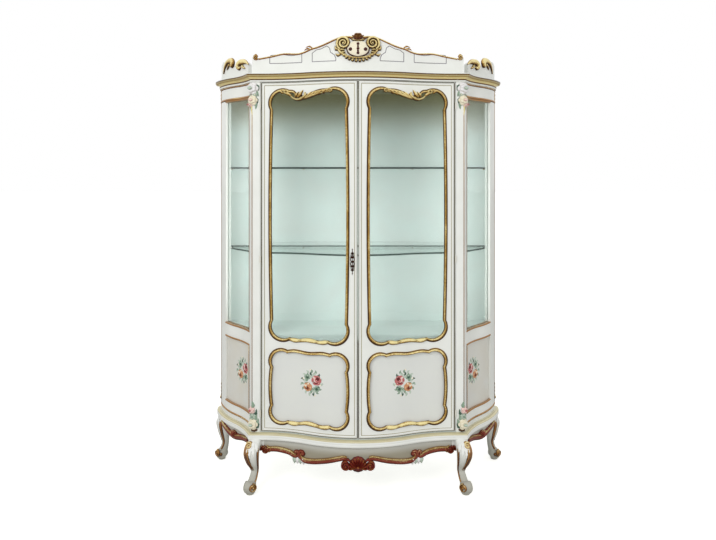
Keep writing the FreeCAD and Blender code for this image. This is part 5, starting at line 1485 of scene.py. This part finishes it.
# The shell: level of its middle, and the foot of its ribs and the middle of a volute from there
SHELL_LEVEL = APRON_TOP - 100.0
SHELL_FOOT = -14.0
SHELL_CURL = (58.0, -7.0)


class CABINET_OT_apron_shell(Operator):
    """Carves the crimson shell and its volutes in the middle of the front apron"""

    bl_idname = "cabinet.apron_shell"
    bl_label = "Apron shell"

    def execute(self, context):
        carving = Carving()
        carving.bead(0, 0, 40.0, 12.0)
        foot = Vector((0, SHELL_FOOT))
        for i in range(11):
            angle = math.radians(-10 + 20 * i)
            way = Vector((math.cos(angle) * 46.0, math.sin(angle) * 46.0 if angle > 0 else -8.0))
            rib = (foot, foot + way * 0.55, foot + way)
            carving.roll(rib, (6.4, 0.3, 0.75, 0.8), (22.0, 0.4, 0.5, 0.7), 12, 8)
        carving.bead(0, SHELL_FOOT, 9.0, 22.0)
        x, z = SHELL_CURL
        for hand in HANDS:
            curl = volute(hand * x, z, 22.0, 90 + hand * 20, -hand * 1.9, 0.12)
            carving.roll(curl, (6.5, 0.9, 0.5), (20.0, 0.8, 0.9), 46, 10)
            carving.bead(hand * x, z, 20.0, 12.0)
            carving.bead(hand * x, z, 6.0, 22.0)
            carving.leaf(((hand * 30, 6), (hand * 50, 22), (hand * 74, 16)), 8.0, 14.0)
        carving.lay(on_front(1, 0.0, SHELL_LEVEL))
        carving.finish("apron_crimson_shell", "crimson_lacquer", "carcase", "red_bole", "apron_shell")
        return {"FINISHED"}


# Rear legs: distance from the side's end and in from its face, the way they lean and their share of the lean
REAR_LEG_BACK = 39.0
REAR_LEG_IN = 31.0
REAR_LEG_WAY = (0.99, 0.12)
REAR_LEG_REACH = 0.36
# Blocks over the legs: a front one's return along the side and thickness, a rear one's length and depth
BLOCK_RETURN = 58.0
BLOCK_THICK = 22.0
REAR_BLOCK = 78.0
REAR_BLOCK_DEPTH = 62.0
# Rings of a foot's scroll from one end to the other: shares of its radius and of its half width
FOOT_RINGS = (
    (0.0, -1.0),
    (0.0, -1.0),
    (0.72, -1.0),
    (0.93, -0.94),
    (1.0, -0.8),
    (1.0, 0.0),
    (1.0, 0.8),
    (0.93, 0.94),
    (0.72, 1.0),
    (0.0, 1.0),
    (0.0, 1.0),
)
# Rings of the pad under it: level and share of its radius
PAD_RINGS = ((0.0, 0.0), (0.0, 0.94), (3.0, 1.0), (FOOT_LEVEL, 1.0), (FOOT_LEVEL, 0.0))
# Level that the knee leaves hang from
KNEE_LEAF_TOP = 240


def rear_leg_place():
    """Where a right rear leg stands, the way it leans and how far."""
    spot, outward = side_place(SIDE_LENGTH - REAR_LEG_BACK)
    return spot - outward * REAR_LEG_IN, Vector(REAR_LEG_WAY).normalized(), REAR_LEG_REACH


class CABINET_OT_legs(Operator):
    """Carves the four cabriole legs, with scrolled feet, browned and gilded edges and leaves on the knees"""

    bl_idname = "cabinet.legs"
    bl_label = "Legs"

    def execute(self, context):
        legs = {"front_leg": FRONT_LEG, "rear_leg": rear_leg_place()}
        edges, gilt, leaves = Carving(), Carving(), Carving()
        leaves.tint = context.scene.cabinet_colours.ivory
        for hand in HANDS:
            for name, leg in legs.items():
                body = Carving()
                self.shank(body, hand, leg)
                self.block(body, hand, name)
                side = SIDE_NAMES[hand]
                body.finish(
                    f"{side}_{name}_carved", "leg_lacquer", "carcase", "ivory_lacquer", f"{side}_{name}"
                )
                self.edging(edges, gilt, hand, leg)
                self.knee(leaves, hand, leg)
        gilt.finish("leg_gilded_edges", "worn_gilding", "carcase", "gold_leaf")
        edges.finish("leg_red_edges", "browned_gilding", "carcase", "red_bole")
        leaves.finish("knee_leaves", "oil_colours", "carcase", "ivory_lacquer")
        return {"FINISHED"}

    @staticmethod
    def shank(carving, hand, leg):
        """The leg's curved shank, its scrolled foot and the pad under it."""
        surface = on_leg(hand, leg)
        top, low = APRON_TOP - 4.0, 0.16 * APRON_TOP
        rows = 40

        def place(along, around):
            row = round(along * rows)
            z = top + (low - top) * min(max(row - 1, 0), rows - 2) / (rows - 2)
            if row in (0, rows):
                middle = surface(0.0, z, 0.0).lerp(surface(math.pi * LEG_GIRTH, z, 0.0), 0.5)
                return middle, 1.0
            return surface(around * math.tau * LEG_GIRTH, z, 0.0), 1.0

        carving.sheet(rows, 28, place)
        hub, outward, across = foot_axes(leg)
        last_ring, last_step = len(FOOT_RINGS) - 1, len(PAD_RINGS) - 1

        def drum(along, around):
            share, flank = FOOT_RINGS[round(along * last_ring)]
            turn = around * math.tau
            spot = hub + outward * FOOT_RADIUS * share * math.cos(turn)
            spot = spot + across * FOOT_HALF_WIDTH * flank
            return in_metres(hand, spot, FOOT_LEVEL + FOOT_RADIUS * share * math.sin(turn)), 1.0

        def pad(along, around):
            level, share = PAD_RINGS[round(along * last_step)]
            turn = around * math.tau
            spot = hub + Vector((math.cos(turn), math.sin(turn))) * PAD_RADIUS * share
            return in_metres(hand, spot, level), 1.0

        carving.sheet(last_ring, 36, drum)
        carving.sheet(last_step, 28, pad)
        carving.lay()
        for flank in HANDS:
            carving.roll(volute(0, 0, 25.0, 100, -1.8, 0.2), (4.5, 0.9, 0.6), 3.5, 40)
            carving.lay(on_foot(hand, leg, flank))

    @staticmethod
    def block(carving, hand, name):
        """The block over a leg, which the aprons meet."""
        if name == "front_leg":
            spots = [front(x, 0.0, 0.0) for x in (APRON_END, APRON_END + 10, POST_INNER, CORNER_X)]
            spots += [on_side(1)(along, 0.0, 0.0) for along in (20.0, 40.0, BLOCK_RETURN)]
            inner = on_side(1)(BLOCK_RETURN, 0.0, -BLOCK_THICK)
            spots += [inner, Vector((APRON_END * MM, inner.y, 0.0))]
        else:
            stops = [SIDE_LENGTH - REAR_BLOCK + REAR_BLOCK / 6 * i for i in range(7)]
            spots = [on_side(1)(along, 0.0, 0.0) for along in stops]
            spots += [on_side(1)(along, 0.0, -REAR_BLOCK_DEPTH) for along in reversed(stops)]
        verts = [carving.bm.verts.new((hand * spot.x, spot.y, KNEE_LOW * MM)) for spot in spots]
        floor = carving.bm.faces.new(verts)
        risen = bmesh.ops.extrude_face_region(carving.bm, geom=[floor])["geom"]
        lifted = [item for item in risen if isinstance(item, bmesh.types.BMVert)]
        bmesh.ops.translate(carving.bm, verts=lifted, vec=(0.0, 0.0, (APRON_TOP - KNEE_LOW) * MM))
        for vert in verts + lifted:
            vert[carving.rub] = 1.0
        carving.lay()

    @staticmethod
    def edging(carving, gilt, hand, leg):
        """The brown and gold bands down the flanks of a leg, and the eyes of its foot."""
        outer = through(((20, 238), (20, 214), (18, 186), (15, 156), (12, 128), (8, 98)))
        carving.roll(outer, (18.0, 0.5, 0.1, 0.35), (6.0, 0.7, 0.5), 30, 12, 0.0, 0.3)
        inner = ((-38, 214), (-42, 184), (-44, 150), (-44, 118), (-42, 90), (-38, 66), (-30, 46))
        carving.roll(inner, (9.0, 0.8, 0.6), (5.0, 0.8, 0.8), 34, 8)
        carving.lay(on_leg(hand, leg))
        for shift in (-12.0, 13.0):
            gilt.roll(beside(outer, shift), (3.4, 0.8, 0.3), (8.0, 0.8, 0.4), 30, 8)
        gilt.roll(volute(10, 230, 13.0, 0, 1.4), (4.4, 0.9, 0.5), 9.0, 30)
        gilt.lay(on_leg(hand, leg))
        for flank in HANDS:
            carving.bead(0, 0, 10.0, 7.0)
            carving.roll(volute(0, 0, 20.0, 60, -1.4, 0.5), (2.6, 0.7, 0.7), 2.6, 34)
            carving.lay(on_foot(hand, leg, flank))
        carving.bead(0, 8, 17.0, 7.0)
        carving.bead(0, 8, 7.0, 13.0)
        carving.lay(on_eye(hand, leg))
        gilt.roll(volute(0, 8, 20.0, 90, 1.5, 0.4), (4.0, 0.8, 0.6), (10.0, 0.8, 1.0), 40)
        gilt.lay(on_eye(hand, leg))

    @staticmethod
    def knee(carving, hand, leg):
        """The leaves on the front of a knee."""
        top = KNEE_LEAF_TOP
        for x, lean, reach in ((-30, -8, 40), (-16, -6, 58), (-2, 0, 70), (10, 4, 50)):
            points = ((x * 0.5, top), (x * 0.9, top - reach * 0.5), (x + lean, top - reach))
            carving.leaf(points, 8.0, 8.0, 4)
        carving.bead(-6, top - 4, 9.0, 9.0)
        carving.lay(on_leg(hand, leg))


# Lines on a side: ends and width of the upright ones, then level and half width of the level ones
PANEL_LINES = ((BOARD_TOP + 84, PANEL_HIGH + 8, 1.5), (PANEL_HIGH + 88, TOP_BOARD_LOW - 84, 0.8))
LEVEL_LINES = ((TOP_BOARD_LOW - 6.0, 4.0), (TOP_BOARD_LOW - 69.0, 6.0), (BOARD_TOP + 26.0, 5.0))


class CABINET_OT_gilt_lines(Operator):
    """Lines the posts, the side panels and the rear stiles with thin gilding and small carved leaves"""

    bl_idname = "cabinet.gilt_lines"
    bl_label = "Gilt lines"

    def execute(self, context):
        half = context.scene.cabinet_sizes.gilt_line / MM
        lines, leaves = Carving(), Carving()
        for hand in HANDS:
            lines.roll(((0, BOARD_TOP + 150), (0, TOP_BOARD_LOW - 160)), half, half, 6)
            lines.lay(on_corner(hand))
            for low, high, wide in PANEL_LINES:
                lines.roll(((50, low), (50, high)), half * wide, half * wide, 6, 8)
            edge = SIDE_LENGTH - 28.0
            lines.roll(((edge, BOARD_TOP + 20), (edge, TOP_BOARD_LOW - 10)), half, half, 6)
            for z, wide in LEVEL_LINES:
                lines.roll(((44, z), (SIDE_LENGTH - 30, z)), wide, 4.0, 40)
            lines.lay(on_side(hand))
            rear = SIDE_LENGTH - 12.0
            for foot, way in ((TOP_BOARD_LOW - 84.0, 1), (BOARD_TOP + 140.0, -1)):
                for i in range(4):
                    z = foot + way * (8 + 20 * i)
                    tip = rear - 2 - 5 * (i % 2)
                    leaves.leaf(((rear - 8, z), (rear + 4, z + way * 9), (tip, z + way * 24)), 7.0, 8.0)
                leaves.roll(volute(rear - 4, foot + way * 86, 9.0, 0, way * 1.3), (3.6, 0.9, 0.5), 8.0)
            leaves.lay(on_side(hand))
        lines.finish("gilded_lines", "worn_gilding", "carcase", "gold_leaf")
        leaves.finish("rear_stile_leaves", "gold_leaf", "carcase", "gold_leaf")
        return {"FINISHED"}


# The lock plate: half sizes of its ring and points of a scroll
LOCK_RING = (4.2, 4.2 * 1.3)
LOCK_SCROLL = ((5, 0), (9.5, 10), (5, 22), (7, 32), (2, 46))
# Curls of the lock plate: place, radius, turns, half width, height and stations
LOCK_CURLS = ((6, 20, 5.0, 1.3, 1.5, 2.6, 20), (4, 40, 4.0, 1.2, 1.3, 2.4, 18))


class CABINET_OT_lock_plate(Operator):
    """Makes the pierced bronze plate round the keyhole"""

    bl_idname = "cabinet.lock_plate"
    bl_label = "Lock plate"

    def execute(self, context):
        carving = Carving()
        carving.roll(self.ring, 1.4, 2.4, 24, 8, closed=True)
        for way in HANDS:
            for hand in HANDS:
                scroll = [(hand * x, way * z) for x, z in LOCK_SCROLL]
                carving.roll(scroll, (2.4, 0.8, 0.3), 2.2, 24)
                for x, z, radius, turns, half, rise, stations in LOCK_CURLS:
                    curl = volute(hand * x, way * z, radius, 90 - 90 * hand, way * hand * turns)
                    carving.roll(curl, (half, 0.9, 0.6), rise, stations)
            carving.leaf(((0, way * 6), (0, way * 34), (0, way * 67)), 3.4, 2.6, 5, 0.0, 24)
            carving.bead(0, way * 58, 3.2, 3.0)
        carving.lay(lambda x, z, out: front(x - LOCK_X, z + LOCK_LEVEL, out))
        carving.finish("lock_plate_pierced", "dark_bronze", "left_door", "dark_bronze", "escutcheon")
        return {"FINISHED"}

    @staticmethod
    def ring(share):
        """A point of the oval ring round the keyhole."""
        turn = share * math.tau
        return Vector((LOCK_RING[0] * math.cos(turn), LOCK_RING[1] * math.sin(turn)))


# The camera: distance before the posts and height in millimetres, then the picture and its lens in pixels
EYE = Vector((0.0, POST_Y - 3300.0, 1600.0)) * MM
IMAGE_WIDTH = 716
IMAGE_HEIGHT = 540
FOCAL_PIXELS = 660.0
HORIZON_PIXEL = 168.0
SENSOR = 36.0
FLOOR_HALF = 40.0
# Light of the room on the cabinet, beside the white that is seen behind it
ROOM_LIGHT = 0.62
# Lamps: name, place and target in metres, width, height and watts
LAMPS = (
    ("key_lamp", (-2.0, -3.6, 3.2), (0.0, 0.0, 1.4), 1.8, 1.8, 70.0),
    ("fill_lamp", (2.6, -3.2, 1.8), (0.0, 0.0, 1.2), 2.0, 2.0, 24.0),
    ("inside_lamp", (0.0, -0.08, 1.15), (0.0, 1.0, 1.15), 0.95, 0.95, 1.4),
    ("left_inside_lamp", (-0.58, 0.0, 1.4), (-0.68, 0.3, 1.4), 0.2, 1.1, 0.65),
    ("right_inside_lamp", (0.58, 0.0, 1.4), (0.68, 0.3, 1.4), 0.2, 1.1, 0.65),
)


class CABINET_OT_stage(Operator):
    """Sets the floor, the light and the camera"""

    bl_idname = "cabinet.stage"
    bl_label = "Stage"

    def execute(self, context):
        scene = context.scene
        self.floor(scene)
        self.light(scene)
        self.camera(scene)
        scene.view_settings.view_transform = "Standard"
        return {"FINISHED"}

    @staticmethod
    def floor(scene):
        """A pale floor that takes the cabinet's shadow."""
        bm = bmesh.new()
        bmesh.ops.create_grid(bm, x_segments=1, y_segments=1, size=FLOOR_HALF)
        mesh = bpy.data.meshes.new("studio_floor")
        bm.to_mesh(mesh)
        bm.free()
        material, tree, shader, place = start("pale_floor")
        tone = scene.cabinet_colours.floor
        grain = add(tree, "TexNoise", {"Vector": place, "Scale": per(30), "Detail": 4.0})
        looks = {
            "Base Color": tone,
            "Roughness": add(tree, "MapRange", (grain, 0.2, 0.8, 0.75, 0.9), **EASED),
            "Specular IOR Level": 0.1,
            "Emission Color": tone,
            "Emission Strength": add(tree, "LightPath", output="Is Camera Ray"),
        }
        plug(tree, shader, looks)
        mesh.materials.append(material)
        floor = bpy.data.objects.new("studio_floor", mesh)
        scene.collection.objects.link(floor)

    @staticmethod
    def light(scene):
        """Soft lamps from the front, over a pale room that looks white behind the cabinet."""
        world = bpy.data.worlds.new("studio")
        world.use_nodes = True
        tree = world.node_tree
        seen = 0.0
        for ray in ("Is Camera Ray", "Is Glossy Ray", "Is Transmission Ray"):
            seen = add(tree, "Math", (seen, add(tree, "LightPath", output=ray)), operation="MAXIMUM")
        strength = add(tree, "MapRange", {"Value": seen, "To Min": ROOM_LIGHT, "To Max": 1.0})
        plug(tree, tree.nodes["Background"], {"Color": (1.0, 1.0, 1.0, 1.0), "Strength": strength})
        scene.world = world
        for name, spot, target, wide, tall, power in LAMPS:
            lamp = bpy.data.lights.new(name, "AREA")
            lamp.shape = "RECTANGLE"
            lamp.size = wide
            lamp.size_y = tall
            lamp.energy = power
            holder = bpy.data.objects.new(name, lamp)
            holder.location = spot
            holder.rotation_euler = (Vector(target) - Vector(spot)).to_track_quat("-Z", "Y").to_euler()
            holder.visible_camera = holder.visible_glossy = False
            scene.collection.objects.link(holder)

    @staticmethod
    def camera(scene):
        """A level camera at standing eye height, with the frame moved down to take in the feet."""
        view = bpy.data.cameras.new("studio_camera")
        view.sensor_fit = "HORIZONTAL"
        view.sensor_width = SENSOR
        view.lens = SENSOR * FOCAL_PIXELS / IMAGE_WIDTH
        view.shift_y = (HORIZON_PIXEL - IMAGE_HEIGHT / 2) / IMAGE_WIDTH
        holder = bpy.data.objects.new("studio_camera", view)
        holder.location = EYE
        holder.rotation_euler = (math.pi / 2, 0.0, 0.0)
        scene.collection.objects.link(holder)
        scene.camera = holder


OPERATORS = (
    CABINET_OT_finishes,
    CABINET_OT_door_mouldings,
    CABINET_OT_door_beads,
    CABINET_OT_rose_sprays,
    CABINET_OT_post_flowers,
    CABINET_OT_crest,
    CABINET_OT_cartouche,
    CABINET_OT_side_crests,
    CABINET_OT_aprons,
    CABINET_OT_apron_shell,
    CABINET_OT_legs,
    CABINET_OT_gilt_lines,
    CABINET_OT_lock_plate,
    CABINET_OT_stage,
)


class CABINET_PT_sidebar(Panel):
    """Lists the cabinet's pieces, sizes and colours"""

    bl_idname = "CABINET_PT_sidebar"
    bl_label = "Display Cabinet"
    bl_space_type = "VIEW_3D"
    bl_region_type = "UI"
    bl_category = "Cabinet"

    def draw(self, context):
        for group in (context.scene.cabinet_sizes, context.scene.cabinet_colours):
            column = self.layout.column()
            for name in group.__annotations__:
                column.prop(group, name)
        column = self.layout.column()
        for operator in OPERATORS:
            column.operator(operator.bl_idname)


CLASSES = (CabinetColours, CabinetSizes, *OPERATORS, CABINET_PT_sidebar)


def register():
    """Adds the cabinet's classes and settings."""
    for item in CLASSES:
        bpy.utils.register_class(item)
    bpy.types.Scene.cabinet_colours = PointerProperty(type=CabinetColours)
    bpy.types.Scene.cabinet_sizes = PointerProperty(type=CabinetSizes)


def unregister():
    """Takes the cabinet's classes and settings away."""
    del bpy.types.Scene.cabinet_sizes
    del bpy.types.Scene.cabinet_colours
    for item in reversed(CLASSES):
        bpy.utils.unregister_class(item)


def main():
    """Dresses the cabinet."""
    register()
    for operator in OPERATORS:
        group, name = operator.bl_idname.split(".")
        getattr(getattr(bpy.ops, group), name)()
    bpy.context.view_layer.update()


if __name__ == "__main__":
    main()
